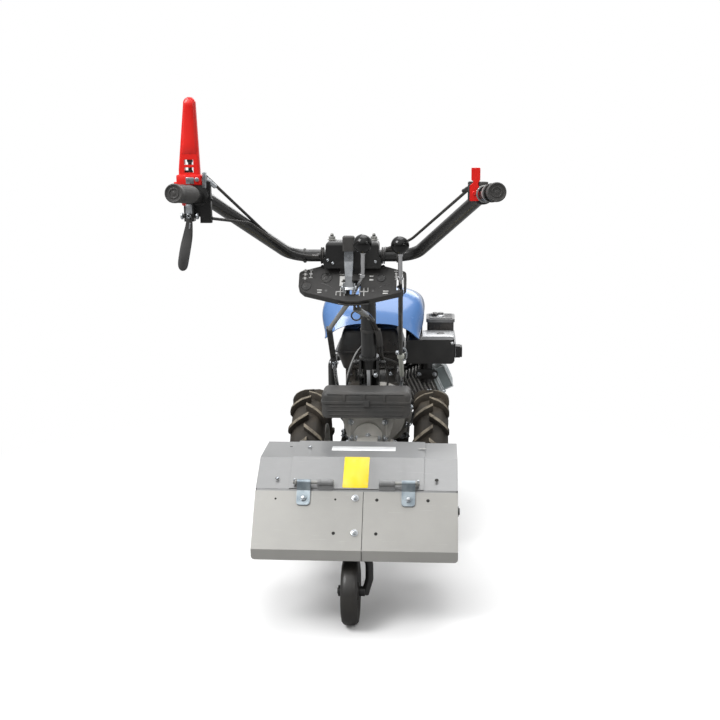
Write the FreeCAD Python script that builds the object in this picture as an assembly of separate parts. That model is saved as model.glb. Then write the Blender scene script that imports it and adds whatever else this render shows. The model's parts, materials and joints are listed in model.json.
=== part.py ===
"""Garden tiller: a two-wheel walking tractor with a rotary tiller behind it, standing on its
tyres and on the small depth wheel. Millimetres. X runs to the walker's right, Y forward, Z up
from the ground. Everything is drawn with Y counted from the main axle, and save() shifts it so
that the origin lies under the middle of the machine."""

import FreeCAD
import Part
import math
import os

V = FreeCAD.Vector

# ---- fits and gaps ------------------------------------------------------------------------
RUN = 0.05                 # radial clearance of a turning fit
GAP = 0.3                  # facing solids that don't belong together
CLEAR = 6.0                # moving pieces past fixed ones

# ---- main wheels --------------------------------------------------------------------------
TYRE_R = 203.0
TYRE_W = 102.0
TRACK = 346.0
RIM_R = 104.0              # bead seat
RIM_W = 78.0
RIM_T = 4.0
RIM_WELL = 17.0            # depth of the drop centre
DISH = 16.0                # how far the disc stands outboard of the middle
LUG_H = 19.0
LUG_T = 14.0
LUGS = 16                  # on each half of the tread
LUG_SLANT = 38.0           # degrees from straight across
CROWN = ((26.0, 0.0), (8.0, 8.0), (0.0, 21.0))   # in from the tyre's side, down from its crown
AXLE_D = 28.0
AXLE_NUT_D = 44.0
AXLE_NUT_T = 14.0
HUB_D = 62.0
HUB_IN = 56.0              # hub length inboard and outboard of the tyre's middle
HUB_OUT = 30.0
BOLT_CIRCLE = 104.0
BOLT_HOLE_D = 13.0

# ---- gearbox ------------------------------------------------------------------------------
BOX_W = 108.0
BOX_REAR = -130.0
BOX_FRONT = 60.0
BOX_LOW = 138.0
BOX_TOP = 372.0
BOX_ROUND = 12.0
AXLE_TUBE_D = 84.0
AXLE_FLANGE_D = 120.0
AXLE_FLANGE_T = 10.0
COVER_LOW = 300.0          # rear cover with its bolt flange
COVER_TOP = 368.0
COVER_T = 9.0
ARCH_W = 78.0              # boss on the cover
ARCH_T = 9.0
SELECTOR_Y = -84.0
SELECTOR_Z = 394.0
SELECTOR_D = 16.0
SELECTOR_X = 74.0
BELL_D = 148.0
BELL_FLANGE_D = 186.0
BELL_FLANGE_T = 9.0

# ---- engine -------------------------------------------------------------------------------
CRANK_X = 22.0
CRANK_Z = 315.0
CASE_X = (-88.0, 96.0)     # crankcase sides
ENGINE_REAR = 112.0
ENGINE_L = 188.0
SUMP_Z = 214.0
CASE_TOP = 404.0
CYL_TILT = 25.0            # cylinder, degrees up from level
CYL_OUT = 78.0             # crank to the first fin
CYL_Y = 240.0
FIN_HALF = 50.0
FIN_HALF_L = 54.0
FINS = 9
FIN_PITCH = 11.0
FIN_T = 4.0
ROCKER_OUT = 46.0
ROCKER_ROUND = 9.0
SHROUD_L = 52.0
SHROUD_R = 100.0
SHROUD_T = 2.5
RECOIL_R = 94.0
RECOIL_L = 38.0
RECOIL_SLOTS = 12
TANK_W = 196.0
TANK_X = -9.0
TANK_L = 204.0
TANK_LOW = 443.0
TANK_TOP = 566.0
TANK_SEAM = 497.0
TANK_TAPER = 20.0
CAP_D = 62.0
CAP_H = 20.0
MUFFLER_X = (99.0, 240.0)
MUFFLER_Y = (114.0, 208.0)
MUFFLER_Z = (463.0, 534.0)
MUFFLER_T = 2.0
SHIELD_T = 2.0
SHIELD_GAP = 8.0
CLEANER_X = (158.0, 238.0)
CLEANER_Y = (226.0, 318.0)
CLEANER_Z = (492.0, 566.0)
LID_T = 10.0

# ---- bonnet -------------------------------------------------------------------------------
BONNET_W = 304.0           # at the waist
BONNET_FOOT = 138.0        # half width at the lower edge
BONNET_SHOULDER = 126.0    # half width at the shoulders
BONNET_CROWN = 6.0
BONNET_T = 3.0
BONNET_REAR = 58.0
BONNET_L = 348.0
BONNET_LOW = 549.0
BONNET_SIDE = 75.0         # height of the upright flanks
BONNET_TOP = 686.0
BONNET_ARCH = 46.0         # height of the open arch in the rear edge
BONNET_TAIL = 30.0         # width of the tails beside the arch at their foot

# ---- front guard and engine rails ---------------------------------------------------------
RAIL_X = 84.0
RAIL_W = 36.0
RAIL_T = 6.0
GUARD_D = 25.0
GUARD_TOP = 420.0
GUARD_W = 300.0
GUARD_BEND = 34.0
GUARD_GAP = 5.0            # between the starter and the guard

# ---- column, panel and controls -----------------------------------------------------------
COLUMN_D = 42.0
COLUMN_WALL = 3.0
COLUMN_FOOT = (2.0, -96.0, 500.0)
COLUMN_KNEE = (2.0, -136.0, 742.0)
COLUMN_HEAD = (0.0, -612.0, 842.0)
COLUMN_BEND = 110.0
COLUMN_COLLAR = 527.0      # height of the ring the foot plates reach up to
FOOT_PLATE = 6.0
GRIP_REACH = 1080.0        # main axle back to the grip ends
BAR_D = 27.0
BAR_Y = -627.0
BAR_Z = 879.0
BAR_BEND_X = 137.0
BAR_BEND_R = 60.0
BAR_OUT = (273.0, -895.0, 1030.0)
GRIP_START = (279.0, -962.0, 1040.0)
GRIP_END = (296.0, -GRIP_REACH, 1052.0)
GRIP_D = 36.0
CONTROL_Y = -938.0         # the hand controls, just ahead of the grips
COLLAR_D = 40.0
COLLAR_L = 24.0
STOP_TOP = 1225.0
STOP_W = 42.0
STOP_TIP_W = 24.0
STOP_T = 13.0
SQUEEZE_T = 6.0
THROTTLE_T = 6.0
CABLE_D = 6.0
CLAMP_W = 128.0
CLAMP_CAP_W = 118.0
CLAMP_H = 52.0
CLAMP_CAP_H = 8.0
CLAMP_D = 46.0
LOCK_X = -6.0
LOCK_W = 20.0
LOCK_T = 5.0
LOCK_GRIP = (27.0, 15.0, 34.0)
PANEL_T = 5.0
PANEL_RIM = 16.0
PANEL_WALL = 4.0
PANEL_TILT = 52.0          # face, degrees up from level
PANEL_AT = (0.0, -652.0, 815.0)
PANEL_HALF_W = 120.0
PANEL_HALF_H = 52.0
PANEL_ROUND = 9.0
PANEL_GATES = ((7.0, -8.0, 12.0, 18.0), (106.5, 3.0, 8.0, 17.0))   # middle, half width, half height
BALL_D = 40.0
LEVER_D = 10.0
BALLS = ((28.0, -702.0, 915.0), (108.0, -702.0, 911.0))
PIVOTS = ((-3.0, -641.0, 784.0), (107.0, -640.0, 797.0))
LINK_D = 12.0
ROD_D = 9.0

# ---- tool box behind the gearbox ----------------------------------------------------------
TOOLBOX_X = (-122.0, 118.0)
TOOLBOX_Y = (-205.0, -114.0)
TOOLBOX_Z = (384.0, 456.0)
TOOLBOX_ROUND = 15.0
TOOLBOX_SEAM = 30.0        # lid height

# ---- tiller -------------------------------------------------------------------------------
HOOD_W = 480.0
SHEET = 3.0
LIP = 16.0                 # turned-down front edge
HOOD_FRONT = (-371.0, 369.0)
HOOD_BEND = (-517.0, 373.0)
HOOD_REAR = (-604.0, 322.0)
FLAP_BEND = (-700.0, 205.0)
FLAP_END = (-699.0, 179.0)
FLAP_ROUND = 9.0           # outer corners of the flap's lip
FLAP_SEAM = 20.0           # where the two halves meet
CENTRE_W = 320.0           # the middle panel that laps over both wings
LAP = 24.0
REST = 12.0                # tongue of the hood that the closed flap lies on
PIN_LIFT = 9.5
PIN_D = 8.0
KNUCKLE_D = 15.0
PIN_OUT = 150.0
SLEEVE_X = (54.0, 92.0)
LEAF_X = (108.0, 140.0)
LEAF_L = 36.0
LEAF_T = 4.0
ROTOR_Y = -467.0
ROTOR_Z = 226.0
ROTOR_R = 132.0
ROTOR_W = 436.0
ROTOR_D = 40.0
NECK_TOP = 318.0
CASE_W = 56.0
CASE_DRUM_D = 124.0
BLADE_T = 7.0
BLADE_W = 36.0
FLANGE_D = 104.0
FLANGE_T = 7.0
FLANGE_X = (80.0, 160.0)   # flanges on each side of the case
TIP_W = 32.0
TIP_T = 9.0

# ---- depth wheel --------------------------------------------------------------------------
DEPTH_R = 80.0
DEPTH_W = 40.0
DEPTH_X = -12.0
DEPTH_Y = -642.0
DEPTH_AXLE_D = 14.0
DEPTH_DISH = 6.0
ARM_D = 19.0
ARM_OUT = 11.0             # how far the stem bows out past its foot
ARM_BEND = 26.0
SOCKET_Z = (202.0, 236.0)

# ---- over all -----------------------------------------------------------------------------
STARTER_FACE = ENGINE_REAR + ENGINE_L + SHROUD_L + RECOIL_L
FRONT_REACH = STARTER_FACE + GUARD_GAP + GUARD_D
AXLE_Y = (GRIP_REACH - FRONT_REACH) / 2


# ---- shapes -------------------------------------------------------------------------------
def box(x0, x1, y0, y1, z0, z1):
    return Part.makeBox(x1 - x0, y1 - y0, z1 - z0, V(x0, y0, z0))


def bar(start, end, diameter):
    """Solid round bar between two points."""
    a, b = V(*start), V(*end)
    return Part.makeCylinder(diameter / 2, (b - a).Length, a, b - a)


def across(x0, x1, y, z, diameter):
    """Round bar along X, whichever way its ends are given."""
    return Part.makeCylinder(diameter / 2, abs(x1 - x0), V(min(x0, x1), y, z), V(1, 0, 0))


def outline(points, sweep):
    """Closed outline of points, swept along a vector."""
    return Part.Face(Part.makePolygon(points + points[:1])).extrude(sweep)


def arc_face(corners):
    """Face inside a closed line of straight runs and arcs: (start, middle or None, end) each."""
    edges = [Part.Arc(a, m, b).toShape() if m else Part.makeLine(a, b) for a, m, b in corners]
    return Part.Face(Part.Wire(edges))


def side_plate(profile, x0, x1):
    """Outline of (y, z) points, thick along X."""
    return outline([V(x0, y, z) for y, z in profile], V(x1 - x0, 0, 0))


def front_plate(profile, y0, y1):
    """Outline of (x, z) points, thick along Y."""
    return outline([V(x, y0, z) for x, z in profile], V(0, y1 - y0, 0))


def turned(profile, centre):
    """Outline of (x, radius) points turned about the X axis through centre (y, z)."""
    points = [V(x, centre[0], centre[1] + r) for x, r in profile]
    face = Part.Face(Part.makePolygon(points + points[:1]))
    return face.revolve(V(0, centre[0], centre[1]), V(1, 0, 0), 360)


def facetted(profile, centre, sides):
    """Outline of (x, radius) points carried round centre (y, z) in flat facets."""
    def at(i, k):
        x, r = profile[i % len(profile)]
        a = 2 * math.pi * k / sides
        return V(x, centre[0] + r * math.sin(a), centre[1] + r * math.cos(a))
    faces = []
    for i in range(len(profile)):
        for k in range(sides):
            corners = [at(i, k), at(i + 1, k), at(i + 1, k + 1), at(i, k + 1)]
            faces.append(Part.Face(Part.makePolygon(corners + corners[:1])))
    return Part.makeSolid(Part.makeShell(faces))


def fuse(shapes):
    shapes = list(shapes)
    return shapes[0].multiFuse(shapes[1:]).removeSplitter() if len(shapes) > 1 else shapes[0]


def rounded(shape, radius, pick):
    return shape.makeFillet(radius, [e for e in shape.Edges if pick(e)])


def along(edge, axis, length):
    """Whether an edge is straight, runs along an axis and has about this length."""
    box_ = edge.BoundBox
    size = {"x": box_.XLength, "y": box_.YLength, "z": box_.ZLength}
    return abs(size[axis] - length) < 0.5 and abs(edge.Length - length) < 0.5


def bent_path(points, bend):
    """Wire of straight runs with an arc of radius bend at each corner."""
    p = [V(*q) for q in points]
    edges, start = [], p[0]
    for i in range(1, len(p) - 1):
        into, out = (p[i] - p[i - 1]).normalize(), (p[i + 1] - p[i]).normalize()
        turn = into.getAngle(out)
        cut = bend * math.tan(turn / 2)
        a, b = p[i] - into * cut, p[i] + out * cut
        middle = p[i] + (out - into).normalize() * (bend / math.cos(turn / 2) - bend)
        edges += [Part.makeLine(start, a), Part.Arc(a, middle, b).toShape()]
        start = b
    return Part.Wire(edges + [Part.makeLine(start, p[-1])])


def bent_bar(points, diameter, bend):
    """Round bar bent to a path."""
    start, ahead = V(*points[0]), V(*points[1]) - V(*points[0])
    ring = Part.Wire(Part.makeCircle(diameter / 2, start, ahead))
    return bent_path(points, bend).makePipeShell([ring], True, True)


def offset_line(points, distance):
    """The same open line of (y, z) points moved sideways, with mitred corners."""
    def normal(a, b):
        length = math.hypot(b[0] - a[0], b[1] - a[1])
        return ((a[1] - b[1]) / length, (b[0] - a[0]) / length)
    normals = [normal(a, b) for a, b in zip(points, points[1:])]
    moved = []
    for i, (y, z) in enumerate(points):
        m, n = normals[max(i - 1, 0)], normals[min(i, len(normals) - 1)]
        grow = distance / (1 + m[0] * n[0] + m[1] * n[1])
        moved.append((y + grow * (m[0] + n[0]), z + grow * (m[1] + n[1])))
    return moved


def step_along(a, b, distance):
    """The point this far from a towards b."""
    run = math.hypot(b[0] - a[0], b[1] - a[1])
    return (a[0] + (b[0] - a[0]) * distance / run, a[1] + (b[1] - a[1]) * distance / run)


def folded_sheet(line, x0, x1, thickness=SHEET):
    """Sheet folded along a line of (y, z) points, its outer face on the line."""
    return side_plate(line + offset_line(line, thickness)[::-1], x0, x1)


def mirrored(shape):
    return shape.mirror(V(0, 0, 0), V(1, 0, 0))


def both(shape):
    """The shape and its mirror image, as two solids of one node."""
    return Part.Compound([mirrored(shape), shape])


def save(name, shape):
    shape = shape.copy()
    shape.translate(V(0, AXLE_Y, 0))
    shape.exportStep(f"parts/{name}.step")


# ---- main wheels, drawn on the right ------------------------------------------------------
def tyre():
    """Farm tyre with slanted lugs, which rise towards the middle as seen from behind."""
    x, half, floor_r, sides = TRACK / 2, TYRE_W / 2, TYRE_R - LUG_H, 2 * LUGS
    wall, shoulder, bead = half - 4, half - 22, RIM_W / 2
    carcass = facetted([(x - bead, RIM_R - 4), (x - bead, RIM_R), (x - wall, RIM_R + 26),
                        (x - wall, floor_r - 24), (x - shoulder, floor_r), (x + shoulder, floor_r),
                        (x + wall, floor_r - 24), (x + wall, RIM_R + 26), (x + bead, RIM_R),
                        (x + bead, RIM_R - 4)], (0, TYRE_R), sides)
    crown = [(x - half + inward, TYRE_R - drop) for inward, drop in CROWN[::-1]]
    crown += [(2 * x - px, r) for px, r in crown[::-1]]
    envelope = facetted([(x - half, RIM_R)] + crown + [(x + half, RIM_R)], (0, TYRE_R), sides)
    lugs = []
    for hand in (-1, 1):
        inner, outer = x - hand * 5, x + hand * (half + 10)
        rise = (half + 15) * math.tan(math.radians(LUG_SLANT))
        foot, face, top = LUG_T * 0.75, LUG_T / 2, 2 * TYRE_R + 2
        ends = []
        for px, py in ((inner, 0), (outer, rise)):
            ends.append([V(px, py - foot, top - 2.2 * LUG_H), V(px, py + foot, top - 2.2 * LUG_H),
                         V(px, py + face, top), V(px, py - face, top)])
        lug = Part.makeLoft([Part.makePolygon(e + e[:1]) for e in ends], True, True)
        for i in range(LUGS):
            turn = lug.copy()
            turn.rotate(V(0, 0, TYRE_R), V(1, 0, 0), 360 / LUGS * (i + (0.5 if hand > 0 else 0)))
            lugs.append(turn.common(envelope))
    seat = across(x - half, x + half, 0, TYRE_R, 2 * RIM_R)
    return carcass.multiFuse(lugs).cut(seat).removeSplitter()


def rim():
    """Pressed drop-centre rim, dished disc and hub, bored to turn on the axle."""
    x, half = TRACK / 2, RIM_W / 2
    seat, well = RIM_R, RIM_R - RIM_WELL
    section = [(x - half - 5, seat), (x - half + 13, seat), (x - half + 20, well),
               (x + half - 20, well), (x + half - 13, seat), (x + half + 5, seat)]
    rim_ring = turned(section + offset_line(section, -RIM_T)[::-1], (0, TYRE_R))
    disc_x, face = x + DISH, BOLT_CIRCLE / 2 + 12
    dish = [(x + DISH / 4, well - RIM_T / 2), (x + DISH / 4, face + 8), (disc_x, face), (disc_x, HUB_D / 4)]
    disc = turned(dish + offset_line(dish, RIM_T)[::-1], (0, TYRE_R))
    hub = across(x - HUB_IN, x + HUB_OUT, 0, TYRE_R, HUB_D)
    shape = fuse([rim_ring, disc, hub])
    drill = [across(x - HUB_IN - 1, x + HUB_OUT + 1, 0, TYRE_R, AXLE_D + 2 * RUN)]
    for i in range(4):
        a = math.radians(45 + 90 * i)
        drill.append(across(disc_x - 2 * RIM_T, disc_x + 2 * RIM_T, BOLT_CIRCLE / 2 * math.cos(a),
                            TYRE_R + BOLT_CIRCLE / 2 * math.sin(a), BOLT_HOLE_D))
    return shape.cut(Part.Compound(drill))


def wheel_axle():
    """One axle through the gearbox, with a collar nut outside each hub."""
    end = TRACK / 2 + HUB_OUT + GAP
    nut = across(end, end + AXLE_NUT_T, 0, TYRE_R, AXLE_NUT_D)
    shaft = across(-end - AXLE_NUT_T - 3, end + AXLE_NUT_T + 3, 0, TYRE_R, AXLE_D)
    return fuse([shaft, nut, mirrored(nut)])


# ---- gearbox ------------------------------------------------------------------------------
def gearbox():
    """Cast case with axle tubes, a flanged rear cover and the selector bosses on top."""
    w = BOX_W / 2
    body = side_plate([(BOX_REAR, 235), (BOX_REAR + 30, 160), (-40, BOX_LOW), (40, BOX_LOW),
                       (BOX_FRONT, 190), (BOX_FRONT, BOX_TOP - 20), (BOX_FRONT - 30, BOX_TOP),
                       (BOX_REAR + 12, BOX_TOP), (BOX_REAR, BOX_TOP - 12)], -w, w)
    body = rounded(body, BOX_ROUND, lambda e: abs(abs(e.CenterOfMass.x) - w) < 0.1
                   and e.CenterOfMass.y < BOX_FRONT - 1)
    tube_end = TRACK / 2 - HUB_IN - CLEAR
    tube = across(w - BOX_ROUND, tube_end, 0, TYRE_R, AXLE_TUBE_D)
    flange = across(w, w + AXLE_FLANGE_T, 0, TYRE_R, AXLE_FLANGE_D)
    boss = box(w - 14, w - 4, SELECTOR_Y - 16, SELECTOR_Y + 16, BOX_TOP - 1, SELECTOR_Z + 12)
    stub = across(w - 8, SELECTOR_X, SELECTOR_Y, SELECTOR_Z, SELECTOR_D)
    ear = front_plate([(w - 20, COVER_LOW), (w + 4, COVER_LOW + 10), (w + 18, COVER_TOP - 8),
                       (w + 8, COVER_TOP), (w - 20, COVER_TOP)], BOX_REAR, BOX_REAR + COVER_T)
    rib = box(w - 6, w - 1, BOX_REAR - COVER_T - 5, BOX_REAR, COVER_LOW, COVER_TOP - 10)
    one_side = [tube, flange, boss, stub, ear, rib]
    shelf_z = TOOLBOX_Z[0]
    shelf = box(-w + 10, w - 10, TOOLBOX_Y[0] + 14, BOX_REAR + 34, shelf_z - 6, shelf_z)
    stand = box(-w + 10, w - 10, BOX_REAR + 12, BOX_REAR + 34, BOX_TOP - 14, shelf_z)
    shape = fuse([body, rear_cover(), shelf, stand] + one_side + [mirrored(s) for s in one_side])
    return shape.cut(across(-TRACK, TRACK, 0, TYRE_R, AXLE_D))


def rear_cover():
    """Bolted cover on the back of the gearbox, with an arched boss over the drive to the tiller."""
    w, y, springing = BOX_W / 2, BOX_REAR - COVER_T, COVER_LOW + 26
    plate = rounded(box(-w, w, y, BOX_REAR + 2, COVER_LOW, COVER_TOP - 4), 8,
                    lambda e: along(e, "y", COVER_T + 2))
    left, right, crown = V(-ARCH_W / 2, y, springing), V(ARCH_W / 2, y, springing), V(0, y, COVER_TOP - 14)
    foot = V(0, 0, COVER_LOW - springing)
    arch = arc_face([(left, crown, right), (right, None, right + foot), (right + foot, None, left + foot),
                     (left + foot, None, left)]).extrude(V(0, -ARCH_T, 0))
    return fuse([plate, arch])


def bell_housing():
    """Clutch housing between gearbox and engine, turned about the crank line."""
    y0, y1, r0, r1 = BOX_FRONT, ENGINE_REAR, BELL_D / 2, BELL_FLANGE_D / 2
    profile = [(0, y0), (r0, y0), (r1 - 12, y1 - BELL_FLANGE_T - 6), (r1 - 12, y1 - BELL_FLANGE_T),
               (r1, y1 - BELL_FLANGE_T), (r1, y1), (0, y1)]
    points = [V(CRANK_X + r, y, CRANK_Z) for r, y in profile]
    face = Part.Face(Part.makePolygon(points + points[:1]))
    return face.revolve(V(CRANK_X, 0, CRANK_Z), V(0, 1, 0), 360)


# ---- engine -------------------------------------------------------------------------------
def engine_block():
    """Crankcase with its sump foot and the tank seats, one closed mass."""
    (x0, x1), y0, y1 = CASE_X, ENGINE_REAR, ENGINE_REAR + ENGINE_L
    corner, foot = 26, 18
    crankcase = front_plate([(x0, SUMP_Z + foot), (x0, CASE_TOP - corner), (x0 + corner, CASE_TOP),
                             (x1 - corner, CASE_TOP), (x1, CASE_TOP - corner), (x1, SUMP_Z + foot)],
                            y0, y1)
    sump = box(x0 - 8, x1 + 8, y0 + 8, y1 - 8, SUMP_Z, SUMP_Z + foot)
    seats = [box(TANK_X + s * 60 - 14, TANK_X + s * 60 + 14, y0 + 24, y1 - 24, CASE_TOP - 4, TANK_LOW)
             for s in (-1, 1)]
    return fuse([crankcase, sump] + seats)


def shroud_form(inset):
    """Fan scroll with its duct out to the cylinder."""
    y0, y1 = ENGINE_REAR + ENGINE_L, ENGINE_REAR + ENGINE_L + SHROUD_L - inset
    r = SHROUD_R - inset
    scroll = Part.makeCylinder(r, y1 - y0, V(CRANK_X, y0, CRANK_Z), V(0, 1, 0))
    reach = CYL_OUT + FINS * FIN_PITCH - inset
    low, high = FIN_HALF - inset, FIN_HALF + 8 - inset
    duct = along_cylinder(box(CRANK_X, CRANK_X + reach, y0, y1, CRANK_Z - low, CRANK_Z + high))
    return scroll.fuse(duct).removeSplitter()


def fan_shroud():
    """Sheet cowl over the flywheel fan, open towards the engine."""
    return shroud_form(0).cut(shroud_form(SHROUD_T))


def along_cylinder(shape):
    """Lay a shape drawn along +X at the crank on the tilted cylinder axis."""
    shape = shape.copy()
    shape.rotate(V(CRANK_X, 0, CRANK_Z), V(0, 1, 0), -CYL_TILT)
    return shape


def cylinder():
    """Finned barrel and head."""
    y, h, l, x0 = CYL_Y, FIN_HALF, FIN_HALF_L, CRANK_X + CYL_OUT
    barrel = box(x0 - 22, x0 + FINS * FIN_PITCH, y - l + 16, y + l - 16, CRANK_Z - h + 16,
                 CRANK_Z + h - 16)
    fins = [box(x0 + i * FIN_PITCH, x0 + i * FIN_PITCH + FIN_T, y - l, y + l, CRANK_Z - h, CRANK_Z + h)
            for i in range(FINS)]
    return along_cylinder(fuse([barrel] + fins)).cut(engine_block()).cut(fan_shroud())


def head_room():
    """Space of the fins, for the parts that seat on them."""
    return along_cylinder(box(CRANK_X, CRANK_X + CYL_OUT + FINS * FIN_PITCH, CYL_Y - FIN_HALF_L,
                              CYL_Y + FIN_HALF_L, CRANK_Z - FIN_HALF, CRANK_Z + FIN_HALF))


def rocker_cover():
    """Pressed cover on the end of the head, with its bolt flange."""
    y, h, l, x0 = CYL_Y, FIN_HALF - 6, FIN_HALF_L - 2, CRANK_X + CYL_OUT + FINS * FIN_PITCH
    base = box(x0, x0 + ROCKER_OUT / 4, y - l, y + l, CRANK_Z - h, CRANK_Z + h)
    x1 = x0 + ROCKER_OUT
    cap = box(x0 + ROCKER_OUT / 4, x1, y - l + 8, y + l - 8, CRANK_Z - h + 7, CRANK_Z + h - 7)
    cap = rounded(cap, ROCKER_ROUND, lambda e: e.BoundBox.XMin > x1 - 0.1
                  or along(e, "x", ROCKER_OUT * 0.75))
    return along_cylinder(fuse([base, cap]))


def recoil_starter():
    """Slotted cup over the starter, with the pull handle in its corner."""
    y = ENGINE_REAR + ENGINE_L + SHROUD_L
    drum = Part.makeCylinder(RECOIL_R, RECOIL_L, V(CRANK_X, y, CRANK_Z), V(0, 1, 0))
    drum = rounded(drum, 12, lambda e: abs(e.CenterOfMass.y - y - RECOIL_L) < 0.1)
    hollow = Part.makeCylinder(RECOIL_R - 3, RECOIL_L - 3, V(CRANK_X, y, CRANK_Z), V(0, 1, 0))
    hollow = rounded(hollow, 9, lambda e: abs(e.CenterOfMass.y - y - RECOIL_L + 3) < 0.1)
    slots = []
    for i in range(RECOIL_SLOTS):
        slot = box(CRANK_X - 4, CRANK_X + 4, y + RECOIL_L - 12, y + RECOIL_L + 1,
                   CRANK_Z + RECOIL_R * 0.42, CRANK_Z + RECOIL_R * 0.78)
        slot.rotate(V(CRANK_X, 0, CRANK_Z), V(0, 1, 0), 360 / RECOIL_SLOTS * (i + 0.5))
        slots.append(slot)
    pull = box(CRANK_X - RECOIL_R * 0.8, CRANK_X - RECOIL_R * 0.45, y, y + RECOIL_L - 12,
               CRANK_Z + RECOIL_R * 0.72, CRANK_Z + RECOIL_R * 0.98)
    return fuse([drum.cut(hollow).cut(Part.Compound(slots)), pull.cut(hollow)])


def fuel_tank():
    """Moulded tank, widest at its welded seam, with the filler neck."""
    w, y0, y1, t = TANK_W / 2, ENGINE_REAR + 4, ENGINE_REAR + 4 + TANK_L, TANK_TAPER
    body = front_plate([(TANK_X - w + t, TANK_LOW), (TANK_X - w, TANK_SEAM), (TANK_X - w + t, TANK_TOP),
                        (TANK_X + w - t, TANK_TOP), (TANK_X + w, TANK_SEAM), (TANK_X + w - t, TANK_LOW)],
                       y0, y1)
    body = rounded(body, 12, lambda e: along(e, "y", TANK_L) and abs(e.CenterOfMass.z - TANK_SEAM) > 9
                   or e.BoundBox.YLength < 0.1)
    rim_w, rim_t = 6, 4
    seam = box(TANK_X - w - rim_w, TANK_X + w + rim_w, y0 - rim_w, y1 + rim_w,
               TANK_SEAM - rim_t / 2, TANK_SEAM + rim_t / 2)
    seam = rounded(seam, 16, lambda e: along(e, "z", rim_t))
    neck = Part.makeCylinder(CAP_D / 2 - 8, 12, V(TANK_X, y0 + TANK_L * 0.7, TANK_TOP - 4))
    return fuse([body, seam, neck])


def fuel_cap():
    z = TANK_TOP + 8
    cap = Part.makeCylinder(CAP_D / 2, CAP_H, V(TANK_X, ENGINE_REAR + 4 + TANK_L * 0.7, z))
    return rounded(cap, 4, lambda e: abs(e.CenterOfMass.z - z - CAP_H) < 0.1)


def muffler():
    """Boxed silencer with its outlet and the flanged neck down to the head."""
    (x0, x1), (y0, y1), (z0, z1), t = MUFFLER_X, MUFFLER_Y, MUFFLER_Z, MUFFLER_T

    def shell(inset):
        form = box(x0 + inset, x1 - inset, y0 + inset, y1 - inset, z0 + inset, z1 - inset)
        return rounded(form, 12 - inset, lambda e: along(e, "y", y1 - y0 - 2 * inset))
    mouth = box(x1 - 2 * t, x1 + 16, y0 + 14, y0 + 46, z0 + 16, z0 + 50)
    bore = box(x1 - 4 * t, x1 + 17, y0 + 14 + t, y0 + 46 - t, z0 + 16 + t, z0 + 50 - t)
    x, y = x0 + 58, y1 - 14
    pipe = Part.makeCylinder(17, z0 - CASE_TOP + 14, V(x, y, CASE_TOP - 14))
    flange = box(x - 36, x + 36, y - 14, y + 14, z0 - 9, z0)
    body = fuse([shell(0), mouth]).cut(fuse([shell(t), bore]))
    return fuse([body, pipe, flange]).cut(head_room()).cut(rocker_cover())


def muffler_shield():
    """Bright guard over the top and outer edge of the silencer, on two spacers."""
    (x0, x1), (y0, y1), z1 = MUFFLER_X, MUFFLER_Y, MUFFLER_Z[1]
    left, right, top = x0 + 46, x1 - 3, z1 + SHIELD_GAP
    top_sheet = box(left, right, y0, y1, top, top + SHIELD_T)
    skirt = box(left, right, y0, y0 + SHIELD_T, z1 + 1, top)
    spacers = [Part.makeCylinder(5, SHIELD_GAP, V(x, (y0 + y1) / 2, z1)) for x in (left + 18, right - 20)]
    return fuse([top_sheet, skirt] + spacers)


def air_cleaner():
    """Box of the air cleaner, ribbed along its flanks."""
    (x0, x1), (y0, y1), (z0, z1) = CLEANER_X, CLEANER_Y, CLEANER_Z
    case = box(x0, x1, y0, y1, z0, z1)
    case = rounded(case, 10, lambda e: along(e, "z", z1 - z0))
    ribs = [box(x, x + 4, y0 - 2, y1 + 2, z0 + 8, z1 - 8) for x in (x0 + 18, x0 + 38, x0 + 58)]
    return fuse([case] + ribs)


def cleaner_lid():
    (x0, x1), (y0, y1), z1 = CLEANER_X, CLEANER_Y, CLEANER_Z[1]
    lid = box(x0 - 3, x1 + 3, y0 - 3, y1 + 3, z1, z1 + LID_T)
    lid = rounded(lid, 12, lambda e: along(e, "z", LID_T))
    knob = Part.makeCylinder(9, 12, V((x0 + x1) / 2, (y0 + y1) / 2, z1 + LID_T))
    return fuse([lid, knob])


def carburettor():
    """Intake leg up from the head, float bowl and the throat under the air cleaner."""
    x, y, z = CLEANER_X[0], CLEANER_Y[0] + 26, CLEANER_Z[0]
    throat = box(x - 26, x + 46, y - 22, y + 22, z - 34, z)
    leg = Part.makeCylinder(15, z - 34 - CASE_TOP + 14, V(x - 10, y, CASE_TOP - 14))
    bowl = Part.makeCylinder(16, 26, V(x + 28, y, z - 56))
    return fuse([throat, leg, bowl]).cut(head_room()).cut(rocker_cover())


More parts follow.
